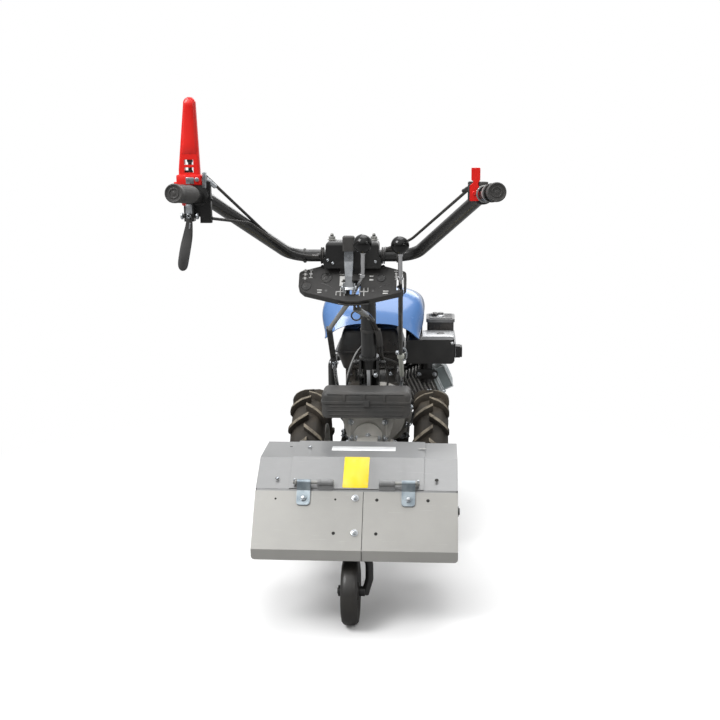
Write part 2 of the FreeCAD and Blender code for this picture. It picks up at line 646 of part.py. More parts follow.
def bonnet_form(inset):
    """Solid the bonnet is cut from: bowed flanks and crown crossed with a swept side outline."""
    y0, y1 = BONNET_REAR + inset, BONNET_REAR + BONNET_L - inset
    low, top, waist = BONNET_LOW - 2 * inset, BONNET_TOP - inset, BONNET_LOW + BONNET_SIDE
    foot, bow, shoulder = (w - inset for w in (BONNET_FOOT, BONNET_W / 2, BONNET_SHOULDER))
    right = [V(foot, y0, low), V(bow, y0, waist), V(shoulder + 14, y0, top - 26), V(shoulder + 4, y0, top - 7),
             V(shoulder - 22, y0, top)]
    left = [V(-p.x, p.y, p.z) for p in right]
    front = arc_face([(left[0], None, right[0]), tuple(right[:3]), tuple(right[2:]),
                      (right[4], V(0, y0, top + BONNET_CROWN), left[4]), tuple(left[4:1:-1]),
                      tuple(left[2::-1])]).extrude(V(0, y1 - y0, 0))
    side = [(y0, low), (y0, BONNET_LOW + BONNET_ARCH + 8), (y0 + 34, top - 50), (y0 + 104, top - 3),
            (y0 + 200, top + BONNET_CROWN + 1), (y1 - 76, top - 6), (y1 - 22, top - 34), (y1, top - 96), (y1, low)]
    q = [V(-BONNET_W, y, z) for y, z in side]
    swept = arc_face([(q[0], None, q[1]), (q[1], q[2], q[3]), (q[3], q[4], q[5]), (q[5], q[6], q[7]),
                      (q[7], None, q[8]), (q[8], None, q[0])]).extrude(V(2 * BONNET_W, 0, 0))
    return front.common(swept)


def bonnet():
    """Cover over the tank, open below, with an arch and two pointed tails in its rear edge."""
    shell = bonnet_form(0).cut(bonnet_form(BONNET_T))
    w, low, high, tail = BONNET_FOOT, BONNET_LOW, BONNET_LOW + BONNET_ARCH, BONNET_TAIL
    arch = front_plate([(-w + 4, low - 1), (-w + tail, high - 14), (-w + 1.7 * tail, high - 4),
                        (-w + 2.6 * tail, high), (w - 2.6 * tail, high), (w - 1.7 * tail, high - 4),
                        (w - tail, high - 14), (w - 4, low - 1)], BONNET_REAR - 1, BONNET_REAR + 26)
    hem = side_plate([(BONNET_REAR + 10, low - 1), (BONNET_REAR + 90, low + 16),
                      (BONNET_REAR + BONNET_L - 60, low + 16), (BONNET_REAR + BONNET_L, low - 1)],
                     -BONNET_W, BONNET_W)
    y, inside = ENGINE_REAR + 40, BONNET_FOOT - 4
    strap = box(-inside, inside, y, y + 30, TANK_TOP, TANK_TOP + 5)
    ends = [box(s * inside - 16, s * inside + 16, y, y + 30, TANK_TOP, TANK_TOP + 16) for s in (-1, 1)]
    strap = fuse([strap] + ends).common(bonnet_form(BONNET_T / 2))
    return fuse([shell.cut(arch).cut(hem), strap])


# ---- front guard and rails ----------------------------------------------------------------
def engine_rails():
    """Two flat rails from the gearbox flanks forward under the engine."""
    x0, x1 = RAIL_X - RAIL_W / 2, RAIL_X + RAIL_W / 2
    rail = box(x0, x1, BOX_FRONT - 4, ENGINE_REAR + ENGINE_L + 30, SUMP_Z - RAIL_T, SUMP_Z)
    plate = box(BOX_W / 2, x0 + 6, BOX_FRONT - 44, BOX_FRONT + 30, SUMP_Z - RAIL_T, SUMP_Z)
    return both(fuse([rail, plate]).cut(gearbox()))


def front_guard():
    """Bent tube across the front, welded under the rails."""
    y, z = FRONT_REACH - GUARD_D / 2, SUMP_Z - RAIL_T - GUARD_D / 2
    w, back = GUARD_W / 2, ENGINE_REAR + ENGINE_L - 100
    half = [(RAIL_X, back, z), (RAIL_X, y - 40, z), (w, y, z + 70), (w, y, GUARD_TOP)]
    return bent_bar([(-a, b, c) for a, b, c in half] + half[::-1], GUARD_D, GUARD_BEND)


# ---- column, panel and controls -----------------------------------------------------------
def column_bar(diameter):
    return bent_bar([COLUMN_FOOT, COLUMN_KNEE, COLUMN_HEAD], diameter, COLUMN_BEND)


def column_at(z):
    """Point on the column's steep lower run at this height."""
    share = (z - COLUMN_FOOT[2]) / (COLUMN_KNEE[2] - COLUMN_FOOT[2])
    return tuple(a + share * (b - a) for a, b in zip(COLUMN_FOOT, COLUMN_KNEE))


def column():
    """Tube that stands on the gearbox and bends back to the clamp, with a ring near its foot."""
    ring = bar(column_at(COLUMN_COLLAR), column_at(COLUMN_COLLAR + 7), COLUMN_D + 2 * FOOT_PLATE)
    return fuse([column_bar(COLUMN_D), ring]).cut(column_bar(COLUMN_D - 2 * COLUMN_WALL))


def column_room():
    return column_bar(COLUMN_D)


def column_foot():
    """Two side plates, a base and the pivot bolt that hold the column on the gearbox."""
    (x, y, z), inside, top = COLUMN_FOOT, COLUMN_D / 2, COLUMN_COLLAR - 3
    plate = side_plate([(y - 16, BOX_TOP), (y + 58, BOX_TOP), (y + 50, z - 60), (y + 28, top),
                        (y - 26, top), (y - 26, z - 16), (y - 16, z - 36)], x + inside, x + inside + FOOT_PLATE)
    other = plate.mirror(V(x, 0, 0), V(1, 0, 0))
    base = box(x - inside - 16, x + inside + 16, y - 16, y + 58, BOX_TOP, BOX_TOP + 8)
    web = box(x - inside, x + inside, y + 28, y + 35, BOX_TOP + 8, z - 30)
    post = box(x - 5, x + 7, y - 14, y + 2, BOX_TOP + 8, z)
    pins = [across(x - inside - FOOT_PLATE - 7, x + inside + FOOT_PLATE + 7, y, z + 14, 14),
            across(x + 13, x + inside, y - 12, z - 8, 13), bar((x - 13, y - 8, z - 46), (x - 13, y - 8, z), 9)]
    seat = box(x - inside, x - 5, y - 14, y + 2, z - 54, z - 46)
    return fuse([plate, other, base, web, post, seat] + pins).cut(column_room()).cut(gearbox())


def handle_clamp():
    """Split block on the column head, bored for the handlebar to tilt in."""
    w, cap_w, y, z = CLAMP_W / 2, CLAMP_CAP_W / 2, BAR_Y, BAR_Z
    low, top, near, far = z - CLAMP_H / 2, z + CLAMP_H / 2 + CLAMP_CAP_H, y - CLAMP_D / 2, y + CLAMP_D / 2
    cap = rounded(box(-cap_w, cap_w, near, far, z + 1, top), 11,
                  lambda e: e.CenterOfMass.z > top - 0.1)
    lower = rounded(box(-w, w, near, far, low, z - 1), 5, lambda e: along(e, "y", CLAMP_D))
    middle = box(-cap_w, cap_w, near, far, z - 1, z + 1)
    saddle = box(-28, 28, y - 12, y + 34, low - 42, low)
    studs = [Part.makeCylinder(4, 14, V(s * (cap_w - 12), y + 8, top - 3)) for s in (-1, 1)]
    ledge = Part.makeBox(2 * 48, 30, 8, V(-48, 14, -8))
    ledge.Placement = panel_frame()
    shape = fuse([cap, lower, middle, saddle, ledge] + studs)
    shape = shape.cut(across(-w - 1, w + 1, y, z, BAR_D + 2 * RUN))
    return shape.cut(column_room()).cut(panel())


def lock_path():
    """Side line of the lock lever, from the panel up past the clamp to its grip."""
    near = BAR_Y - CLAMP_D / 2
    return [(near - 21, BAR_Z - 66), (near - 25, BAR_Z - 40), (near - 18, BAR_Z - 8), (near - 16, BAR_Z + 19)]


def lock_lever():
    """Curved flat lever, hooked into a small fork on the panel."""
    x0, x1 = LOCK_X - LOCK_W / 2, LOCK_X + LOCK_W / 2
    path = lock_path()
    strip = folded_sheet(path, x0, x1, LOCK_T)
    taper = front_plate([(x0, path[0][1]), (x0 + 4, path[0][1]), (x0, path[2][1])], path[0][0] - 30,
                        path[0][0] + 30)
    taper_right = taper.mirror(V(LOCK_X, 0, 0), V(1, 0, 0))
    y, z = path[0]
    cheeks = [box(LOCK_X + s * 8 - 1.5, LOCK_X + s * 8 + 1.5, y - 6, y + 18, z - 12, z + 12) for s in (-1, 1)]
    pin = across(LOCK_X - 12, LOCK_X + 12, y - 1, z, 7)
    return fuse([strip.cut(taper).cut(taper_right), pin] + cheeks).cut(panel_solid())


def lock_grip():
    w, d, h = LOCK_GRIP
    y, z = lock_path()[-1]
    grip = box(LOCK_X - w / 2, LOCK_X + w / 2, y - d / 2 - LOCK_T / 2, y + d / 2 - LOCK_T / 2, z - 4, z - 4 + h)
    grip = rounded(grip, 5, lambda e: along(e, "z", h) or e.CenterOfMass.z > z - 4 + h - 0.1)
    return grip.cut(lock_lever())


def panel_frame():
    """Placement of the panel: its own X across, Y up the slope, Z out of the face."""
    return FreeCAD.Placement(V(*PANEL_AT), FreeCAD.Rotation(V(1, 0, 0), PANEL_TILT))


def panel_outline(inset):
    w, h = PANEL_HALF_W - inset, PANEL_HALF_H - inset
    return [V(x, y, 0) for x, y in (
        (-w, h - 20), (-w * 0.45, h), (w * 0.45, h), (w, h - 20), (w, -h * 0.16), (w - 12, -h * 0.38),
        (w * 0.3, -h * 0.74), (w * 0.12, -h * 0.82), (-w * 0.12, -h * 0.82), (-w * 0.3, -h * 0.74),
        (-w + 12, -h * 0.38), (-w, -h * 0.16))]


def panel_solid():
    tray = outline(panel_outline(0), V(0, 0, PANEL_T + PANEL_RIM))
    tray.Placement = panel_frame().multiply(FreeCAD.Placement(V(0, 0, -PANEL_RIM), FreeCAD.Rotation()))
    return tray


def panel():
    """Gate plate with a turned-down rim, leaning towards the walker."""
    tray = outline(panel_outline(0), V(0, 0, PANEL_T + PANEL_RIM))
    tray = rounded(tray, PANEL_ROUND, lambda e: along(e, "z", PANEL_T + PANEL_RIM)
                   and abs(e.CenterOfMass.x) > PANEL_HALF_W * 0.85)
    inner = outline(panel_outline(PANEL_WALL), V(0, 0, PANEL_RIM))
    shape = tray.cut(inner)
    for x, y, half_w, half_h in PANEL_GATES:
        shape = shape.cut(Part.makeBox(2 * half_w, 2 * half_h, 60, V(x - half_w, y - half_h, -20)))
    shape.Placement = panel_frame().multiply(FreeCAD.Placement(V(0, 0, -PANEL_RIM), FreeCAD.Rotation()))
    return shape.cut(column_room())


def shift_rod(i):
    """Gear lever from its knob down through the panel gate."""
    (x, y, z), pivot = BALLS[i], PIVOTS[i]
    bend = (x + (pivot[0] - x) * 0.12, y + 20, z - 74)
    return bent_bar([(x, y, z - 4), bend, pivot], LEVER_D, 18)


def shift_rods():
    return Part.Compound([shift_rod(0), shift_rod(1)])


def ball_knobs():
    return Part.Compound([Part.makeSphere(BALL_D / 2, V(*BALLS[i])).cut(shift_rod(i)) for i in (0, 1)])


def fork(x, y, z):
    """Clevis of a link: two ears and its pin."""
    ears = [box(x + s * 7 - 2, x + s * 7 + 2, y - 9, y + 9, z - 14, z + 16) for s in (-1, 1)]
    return fuse(ears + [across(x - 11, x + 11, y, z, 7), box(x - 9, x + 9, y - 9, y + 9, z + 12, z + 18)])


def selector_rods():
    """Links from the feet of the two gear levers down to the selector stubs on the gearbox."""
    end, foot = SELECTOR_X + ROD_D / 2 + GAP, SELECTOR_Z - 6
    routes = (((-84, -340, 654), (-86, -206, 546), (-86, -200, 536), (-89, -100, 462), -end),
              ((105, -590, 742), (94, -256, 582), (94, -250, 572), (93, -100, 466), end))
    links = []
    for i, (bend, knee, pin, turn, x) in enumerate(routes):
        px, py, pz = PIVOTS[i]
        eye = across(px - 6, px + 6, py, pz, LINK_D + 2)
        link = [eye, bent_bar([(px, py, pz), bend, knee], LINK_D, 30), fork(*pin),
                bent_bar([pin, turn, (x, SELECTOR_Y, foot)], ROD_D, 20)]
        links.append(fuse(link).cut(shift_rod(i)))
    return Part.Compound(links)


def engine_cables():
    """Control cables from under the panel to the column, and on to the engine and the gearbox."""
    beside, next_one = (COLUMN_D + CABLE_D) / 2 + GAP, CABLE_D + 2 * GAP
    _, panel_y, panel_z = PANEL_AT
    leg_x, leg_y, under = CLEANER_X[0] - 26, CLEANER_Y[0] + 26, MUFFLER_Z[0] - 20

    def down_the_column(i):
        """From the panel's lower edge across the back of the column and down its right side."""
        shift = i * next_one
        x, y, z = column_at(646 - shift)
        side, ring = column_at(592), column_at(COLUMN_COLLAR)
        return [(4 + 1.3 * shift, panel_y - 20, panel_z - 27), (4 + 1.3 * shift, panel_y + 12, panel_z - 55),
                (x + 7 + 1.3 * shift, y - beside - 6, z), (side[0] + beside + 2 + shift, side[1] - 9, side[2]),
                (ring[0] + beside + FOOT_PLATE + shift, ring[1] - 2, ring[2] + 4)]
    to_engine = down_the_column(0) + [
        (66, 30, 488), (leg_x - 34, 150, under), (leg_x - 34, leg_y, under + 27), (leg_x, leg_y, under + 27)]
    to_clutch = down_the_column(1) + [(50, 8, 450), (42, 8, BOX_TOP)]
    behind, low = column_at(620), column_at(575)
    to_gear = [(behind[0], behind[1] + beside, behind[2]), (low[0] - 4, low[1] + beside + 1, low[2]),
               (-34, -74, 536), (-62, -78, 450), (-56, -52, 404), (-44, -40, BOX_TOP - 1)]
    return Part.Compound([bent_bar(route, CABLE_D, bend).cut(gearbox())
                          for route, bend in ((to_engine, 24), (to_clutch, 24), (to_gear, 16))])


def toolbox():
    """Moulded box on the gearbox shelf: rounded lid over a ribbed tray."""
    (x0, x1), (y0, y1), (z0, z1) = TOOLBOX_X, TOOLBOX_Y, TOOLBOX_Z
    seam = z1 - TOOLBOX_SEAM
    body = box(x0, x1, y0, y1, z0, z1)
    body = rounded(body, TOOLBOX_ROUND, lambda e: along(e, "y", y1 - y0) or along(e, "z", z1 - z0)
                   or abs(e.CenterOfMass.z - z1) < 0.1)
    outer = rounded(box(x0 - 2, x1 + 2, y0 - 2, y1, seam - 3, seam + 3), TOOLBOX_ROUND,
                    lambda e: along(e, "z", 6))
    hasp = box(-8, 8, y0 - 6, y0, seam - 9, seam + 7)
    return fuse([body, outer, hasp])


# ---- handlebar ----------------------------------------------------------------------------
def bar_points():
    arm = [(BAR_BEND_X, BAR_Y, BAR_Z), BAR_OUT, (GRIP_END[0] - 1, GRIP_END[1] + 8, GRIP_END[2] - 1)]
    return [(-x, y, z) for x, y, z in arm][::-1] + arm


def handlebar():
    """One bar from grip to grip through the clamp."""
    return bent_bar(bar_points(), BAR_D, BAR_BEND_R)


def on_grip_line(side, y):
    """Point of the grip's centre line at this y."""
    share = (y - GRIP_START[1]) / (GRIP_END[1] - GRIP_START[1])
    return (side * (GRIP_START[0] + share * (GRIP_END[0] - GRIP_START[0])), y,
            GRIP_START[2] + share * (GRIP_END[2] - GRIP_START[2]))


def grip(side):
    body = bar(on_grip_line(side, GRIP_START[1]), on_grip_line(side, GRIP_END[1] + 4), GRIP_D)
    flare = bar(on_grip_line(side, GRIP_START[1]), on_grip_line(side, GRIP_START[1] - 6), GRIP_D + 6)
    return fuse([body, flare]).cut(handlebar())


def collar(side, y0, y1, diameter):
    """Ring round the handlebar just inboard of a grip."""
    return bar(on_grip_line(side, y0), on_grip_line(side, y1), diameter).cut(handlebar())


def stop_lever():
    """Tall tapered lever with a round top that stands on its hub at the left grip."""
    x, y, z = on_grip_line(-1, CONTROL_Y)
    w, tip, near = STOP_W / 2, STOP_TIP_W / 2, y - STOP_T / 2
    foot, low_x, top_x, round_z = z + COLLAR_D / 2, x - w + 3, x - tip - 1, STOP_TOP - tip
    foot_left, foot_right = V(low_x - w, near, foot), V(low_x + w, near, foot)
    wide_left, wide_right = V(low_x - w, near, foot + 30), V(low_x + w, near, foot + 30)
    top_left, top_right = V(top_x - tip, near, round_z), V(top_x + tip, near, round_z)
    blade = arc_face([(foot_left, None, wide_left), (wide_left, None, top_left),
                      (top_left, V(top_x, near, STOP_TOP), top_right), (top_right, None, wide_right),
                      (wide_right, None, foot_right), (foot_right, None, foot_left)]).extrude(V(0, STOP_T, 0))
    blade = rounded(blade, 4, lambda e: e.BoundBox.YLength < 0.1)
    hub = rounded(box(low_x - w - 4, low_x + w + 4, y - 9, y + 9, foot, foot + 20), 3,
                  lambda e: along(e, "y", 18) and e.CenterOfMass.z > foot + 19)
    windows = [box(low_x - 9, low_x + 9, y - 10, y + 10, foot + 24 + i, foot + 34 + i) for i in (0, 15)]
    return fuse([blade, hub]).cut(Part.Compound(windows)).cut(lever_bracket()).cut(handlebar())


def lever_bracket():
    """Clamp and plates on the left arm that the two levers pivot in."""
    x, y, z = on_grip_line(-1, CONTROL_Y)
    r = COLLAR_D / 2
    ring = collar(-1, y - COLLAR_L / 2 + 2, y + COLLAR_L / 2 + 2, COLLAR_D)
    cheek = box(x + r - 20, x + r + 2, y - 4, y + 8, z - 54, z + 26)
    fork_plates = [box(x - 20 + s * 8 - 1.5, x - 20 + s * 8 + 1.5, y - 14, y + 6, z - 50, z - 8) for s in (-1, 1)]
    bridge = box(x - 30, x + r - 4, y, y + 5, z - 42, z - 8)
    pin = across(x - 33, x - 7, y - 6, z - 40, 8)
    foot = box(x - r - 22, x, y - 6, y + 6, z + r - 4, z + r)
    return fuse([ring, cheek, bridge, pin, foot] + fork_plates).cut(handlebar())


def squeeze_lever():
    """Flat curved lever that hangs under the left grip, narrow at its pin and broad at its end."""
    x, y, z = on_grip_line(-1, CONTROL_Y)
    strip = folded_sheet([(y - 10, z - 32), (y - 20, z - 84), (y - 40, z - 140)], x - 44, x, SQUEEZE_T)
    neck_left, neck_right = V(x - 25, y - 80, z - 32), V(x - 15, y - 80, z - 32)
    wide_left, wide_right = V(x - 37, y - 80, z - 104), V(x - 15, y - 80, z - 104)
    face = arc_face([(neck_left, V(x - 30, y - 80, z - 66), wide_left),
                     (wide_left, V(x - 28, y - 80, z - 138), wide_right),
                     (wide_right, V(x - 13.5, y - 80, z - 66), neck_right), (neck_right, None, neck_left)])
    return strip.common(face.extrude(V(0, 100, 0))).cut(lever_bracket())


def throttle_case():
    """Two-part housing of the throttle on the right arm."""
    x, y, z = on_grip_line(1, CONTROL_Y)
    ring = collar(1, y - 5, y + COLLAR_L / 2, COLLAR_D)
    block = box(x - COLLAR_D / 2 - 9, x + 6, y - 9, y + 9, z - 12, z + 24)
    return fuse([ring, rounded(block, 3, lambda e: along(e, "y", 18))]).cut(handlebar())


def throttle_lever():
    """Cranked lever on the back of its housing: broad base, narrow neck and thumb pad."""
    x, y, z = on_grip_line(1, CONTROL_Y)
    left, near = x - COLLAR_D / 2 - 6, y - 9 - GAP - THROTTLE_T
    blade = front_plate([(left, z - 12), (left, z + 18), (left + 8, z + 24), (left + 3, z + 28), (left + 3, z + 51),
                         (left + 20, z + 51), (left + 20, z + 28), (left + 16, z + 22), (left + 18, z + 14),
                         (left + 18, z - 12)], near, near + THROTTLE_T)
    return rounded(blade, 2, lambda e: along(e, "y", THROTTLE_T)).cut(handlebar())


def arm_point(side, share, lift, inward):
    """A point beside the straight of an arm: lifted off it, or moved inward and back."""
    start, end = V(BAR_BEND_X, BAR_Y, BAR_Z), V(*BAR_OUT)
    ahead = (end - start).normalize()
    up = (V(0, 0, 1) - ahead * ahead.z).normalize()
    p = start + (end - start) * share + up * lift + ahead.cross(up) * inward
    return (side * p.x, p.y, p.z)


def handle_cables():
    """Three control cables from the hand controls to the middle of the handlebar."""
    beside = (BAR_D + CABLE_D) / 2 + GAP
    stop = CLAMP_W / 2 + 11
    (x, y, z), (rx, ry, rz) = on_grip_line(-1, CONTROL_Y), on_grip_line(1, CONTROL_Y)
    upper = [(x + 9, y + 4, z + 40), (-BAR_BEND_X - 6, BAR_Y - beside - 3, BAR_Z + 6),
             (-BAR_BEND_X + 34, BAR_Y - beside + 4, BAR_Z - 12)]
    lower = [(x + 17, y + 10, z - 46), arm_point(-1, 0.6, 0, beside),
             (-BAR_BEND_X + 11, BAR_Y - beside, BAR_Z + 1), (-stop, BAR_Y - beside, BAR_Z + 1)]
    right = [(rx - 26, ry + 8, rz + 10), (BAR_BEND_X - 9, BAR_Y - 23, BAR_Z + 36),
             (stop, BAR_Y - 7, BAR_Z + beside - 1)]
    room = fuse([handlebar(), lever_bracket(), throttle_case(), stop_lever()])
    return Part.Compound([bent_bar(route, CABLE_D, bend).cut(room)
                          for route, bend in ((upper, 30), (lower, BAR_BEND_R), (right, BAR_BEND_R))])


# ---- tiller hood and flap -----------------------------------------------------------------
def hood_line():
    return [HOOD_FRONT, HOOD_BEND, HOOD_REAR]


def flap_line():
    """Outer face of the flap, from just behind the hood's rear edge to its lip."""
    return [step_along(HOOD_REAR, FLAP_BEND, 7), FLAP_BEND, FLAP_END]


def hinge_axis():
    """Where the flap pins lie, just over the hood's rear edge."""
    slope = math.atan2(HOOD_BEND[1] - HOOD_REAR[1], HOOD_BEND[0] - HOOD_REAR[0])
    y, z = step_along(HOOD_REAR, HOOD_BEND, 10)
    return (y - PIN_LIFT * math.sin(slope), z + PIN_LIFT * math.cos(slope))


def rest_tongue(x0, x1):
    """Strip behind the hood's rear edge that the closed flap lies on."""
    start, end = offset_line(flap_line()[:2], SHEET + GAP)
    return folded_sheet([step_along(start, end, -7), step_along(start, end, REST)], x0, x1)


def hood_centre():
    """Middle panel of the hood, lapped over the two wings, with the blocks that hold the pins."""
    w = CENTRE_W / 2
    tongue = rest_tongue(-w + LAP, w - LAP)
    lip = box(-w + LAP, w - LAP, HOOD_FRONT[0] - SHEET, HOOD_FRONT[0], HOOD_FRONT[1] - LIP, HOOD_FRONT[1])
    block = hinge_block()
    shape = fuse([folded_sheet(hood_line(), -w, w), tongue, lip, block, mirrored(block)])
    return shape.cut(tiller_case())


def hinge_block():
    """Round block welded on the hood that holds the right pin."""
    y, z = hinge_axis()
    half = KNUCKLE_D / 2
    tube = across(SLEEVE_X[0], SLEEVE_X[1], y, z, KNUCKLE_D)
    foot = side_plate([(y + half, z), (y - half / 2, z), (y - half / 2, z - 20), (y + half, z - 20)],
                      SLEEVE_X[0], SLEEVE_X[1])
    under = offset_line(hood_line(), SHEET / 2)
    below = side_plate([under[1], under[2], (under[2][0], under[2][1] - 40), (under[1][0], under[1][1] - 90)],
                       0, HOOD_W)
    behind = box(0, HOOD_W, HOOD_REAR[0] - 40, HOOD_REAR[0], HOOD_REAR[1] - 40, z - half)
    return fuse([tube, foot]).cut(below).cut(behind).cut(hinge_pin())


def hood_wing():
    """Outer hood sheet with its turned front lip and its side plate, drawn on the right."""
    line = offset_line(hood_line(), SHEET)
    x0, x1 = CENTRE_W / 2 - LAP, HOOD_W / 2
    top = folded_sheet(line, x0, x1)
    lip = box(x0, x1, HOOD_FRONT[0] - SHEET, HOOD_FRONT[0], line[0][1] - LIP - SHEET, line[0][1])
    low = ROTOR_Z - 18
    rear = [(HOOD_REAR[0] + 4, line[-1][1] - 3), (HOOD_REAR[0] - 6, low + 54)]
    foot = [(ROTOR_Y - 96, low + 18), (ROTOR_Y, low), (HOOD_FRONT[0] + 2, low + 18)]
    plate = side_plate(line + rear + foot + [(HOOD_FRONT[0], line[0][1] - 70)], x1 - SHEET, x1)
    flange = folded_sheet(foot, x1 - 14, x1, -SHEET)
    bolt = across(x1, x1 + 5, HOOD_REAR[0] + 14, 264, 14)
    return fuse([top, lip, plate, flange, bolt, rest_tongue(x0 + GAP, x1 - SHEET)])


def hinge_pin():
    y, z = hinge_axis()
    clip = across(LEAF_X[1] + GAP + 2, LEAF_X[1] + GAP + 5, y, z, 14)
    return fuse([across(SLEEVE_X[0] + 2, PIN_OUT, y, z, PIN_D), clip])


def flap_half(side):
    """Half of the rear flap, as wide as the hood; the halves meet at an off-centre seam."""
    edge = HOOD_W / 2
    x0, x1 = (-edge, FLAP_SEAM) if side < 0 else (FLAP_SEAM, edge)
    return rounded(folded_sheet(flap_line(), x0, x1), FLAP_ROUND,
                   lambda e: e.Length < 1.5 * SHEET and e.CenterOfMass.z < FLAP_END[1] + 2
                   and abs(abs(e.CenterOfMass.x) - edge) < 0.1)


def flap_leaf():
    """Zinc strap bolted on the flap, rolled round the pin."""
    y, z = hinge_axis()
    line = flap_line()[:2]
    start, end = line[0], step_along(line[0], line[1], LEAF_L)
    top, foot = offset_line([start, end], -LEAF_T)
    strap = rounded(side_plate([start, end, foot, top], *LEAF_X), 8,
                    lambda e: along(e, "x", 0) or (e.Length < LEAF_T + 0.1
                    and math.dist((e.CenterOfMass.y, e.CenterOfMass.z), foot) < LEAF_T))
    knuckle = across(LEAF_X[0], LEAF_X[1], y, z, KNUCKLE_D)
    neck = side_plate([(y - 1, z), start, top, (y - KNUCKLE_D / 2, z)], *LEAF_X)
    shape = fuse([strap, knuckle, neck]).cut(across(0, HOOD_W, y, z, PIN_D + 2 * RUN))
    at, ahead = step_along(top, foot, LEAF_L / 2), V(0, end[0] - start[0], end[1] - start[1])
    normal = V(0, -ahead.z, ahead.y).normalize() * -1
    bolt = Part.makeCylinder(7, 5, V((LEAF_X[0] + LEAF_X[1]) / 2, at[0], at[1]), normal)
    return fuse([shape, bolt])


# ---- tiller case and rotor ----------------------------------------------------------------
def tiller_case():
    """Narrow cast case from the gearbox back and down to the rotor."""
    w, under = CASE_W / 2, offset_line(hood_line(), SHEET)
    neck = side_plate([(BOX_REAR, 246), (BOX_REAR, NECK_TOP), (-250, NECK_TOP), (HOOD_FRONT[0] - 12, under[0][1]),
                       under[1], (ROTOR_Y - 74, 300), (ROTOR_Y - 58, ROTOR_Z), (ROTOR_Y + 62, ROTOR_Z),
                       (ROTOR_Y + 84, 268), (-300, 250)], -w, w)
    drum = across(-w, w, ROTOR_Y, ROTOR_Z, CASE_DRUM_D)
    rib = across(-w - 4, w + 4, ROTOR_Y, ROTOR_Z, CASE_DRUM_D - 40)
    flange = rounded(box(-w - 26, w + 26, BOX_REAR - 16, BOX_REAR, 240, 296), 10,
                     lambda e: along(e, "y", 16))
    shape = fuse([neck, drum, rib, flange]).cut(gearbox())
    return shape.cut(across(-w - 5, w + 5, ROTOR_Y, ROTOR_Z, ROTOR_D + 2 * RUN))


def rotor_shaft():
    """Shaft through the case with the blade flanges on it."""
    shaft = across(-ROTOR_W / 2, ROTOR_W / 2, ROTOR_Y, ROTOR_Z, ROTOR_D)
    flanges = [across(x, x + FLANGE_T, ROTOR_Y, ROTOR_Z, FLANGE_D) for x in FLANGE_X]
    return fuse([shaft] + flanges + [mirrored(f) for f in flanges])


def blade(x, hand, angle):
    """L-shaped tine: a curved flat shank bolted to the flange, its tip turned sideways."""
    def at(radius, degrees, px):
        a = math.radians(degrees)
        return V(px, ROTOR_Y + radius * math.cos(a), ROTOR_Z + radius * math.sin(a))

    def ribbon(inner, outer, x0, x1):
        edges = [Part.Arc(*(at(*p, x0) for p in outer)).toShape(),
                 Part.makeLine(at(*outer[2], x0), at(*inner[2], x0)),
                 Part.Arc(*(at(*p, x0) for p in inner)).toShape(),
                 Part.makeLine(at(*inner[0], x0), at(*outer[0], x0))]
        return Part.Face(Part.Wire(Part.__sortEdges__(edges))).extrude(V(x1 - x0, 0, 0))
    root, r = ROTOR_D / 2 + 8, ROTOR_R
    half = math.degrees(BLADE_W / 2 / 60)
    lead = [(root, half * 1.4), (r * 0.62, half * 0.5), (r, -18)]
    trail = [(root, -half * 1.4), (r * 0.62, -half * 1.05), (r, -44)]
    x0, x1 = (x, x + BLADE_T) if hand > 0 else (x - BLADE_T, x)
    shank = ribbon(trail, lead, x0, x1)
    t0, t1 = (x0, x0 + TIP_W) if hand > 0 else (x1 - TIP_W, x1)
    tip = ribbon([(r - TIP_T, -44), (r - TIP_T, -31), (r - TIP_T, -18)], [(r, -44), (r, -31), (r, -18)], t0, t1)
    shape = fuse([shank, tip])
    shape.rotate(V(0, ROTOR_Y, ROTOR_Z), V(1, 0, 0), angle)
    return shape


def reel(side):
    """Eight tines on each side of the case: four on each flange, turned outward and inward in turn."""
    blades = []
    for n, x in enumerate(FLANGE_X):
        for i in range(4):
            outward = i % 2 == 0
            place = x + FLANGE_T if outward else x
            blades.append(blade(place, 1 if outward else -1, 90 * i + 45 * n + (22 if side > 0 else 0)))
    shape = Part.Compound(blades)
    return shape if side > 0 else mirrored(shape)


# ---- depth wheel --------------------------------------------------------------------------
def depth_wheel():
    """Solid rubber wheel with dished faces."""
    x, half, r = DEPTH_X, DEPTH_W / 2, DEPTH_R
    body = facetted([(x - half, 4), (x - half, 22), (x - half + DEPTH_DISH, r * 0.6), (x - half, r - 9),
                     (x - half + 8, r), (x + half - 8, r), (x + half, r - 9),
                     (x + half - DEPTH_DISH, r * 0.6), (x + half, 22), (x + half, 4)], (DEPTH_Y, r), 30)
    return body.cut(across(x - DEPTH_W, x + DEPTH_W, DEPTH_Y, r, DEPTH_AXLE_D + 2 * RUN))


def arm_room():
    x, r = DEPTH_X + DEPTH_W / 2 + ARM_D / 2 + 4, DEPTH_R
    return bent_bar([(0, DEPTH_Y, SOCKET_Z[1] + 4), (0, DEPTH_Y, 2 * r + 32), (x + ARM_OUT, DEPTH_Y, 2 * r - 4),
                     (x + ARM_OUT, DEPTH_Y, r + 32), (x, DEPTH_Y, r - 6)], ARM_D, ARM_BEND)


def depth_arm():
    """Bent round stem in the bracket, with the wheel's axle bolt welded to its foot."""
    x0, x1, r = DEPTH_X - DEPTH_W / 2, DEPTH_X + DEPTH_W / 2, DEPTH_R
    arm_x = x1 + ARM_D / 2 + 4
    axle = across(x0 - 12, arm_x, DEPTH_Y, r, DEPTH_AXLE_D)
    washer = across(x1 + GAP, arm_x, DEPTH_Y, r, DEPTH_AXLE_D + 10)
    nut = across(x0 - 10, x0 - GAP, DEPTH_Y, r, DEPTH_AXLE_D + 12)
    return fuse([arm_room(), axle, washer, nut])


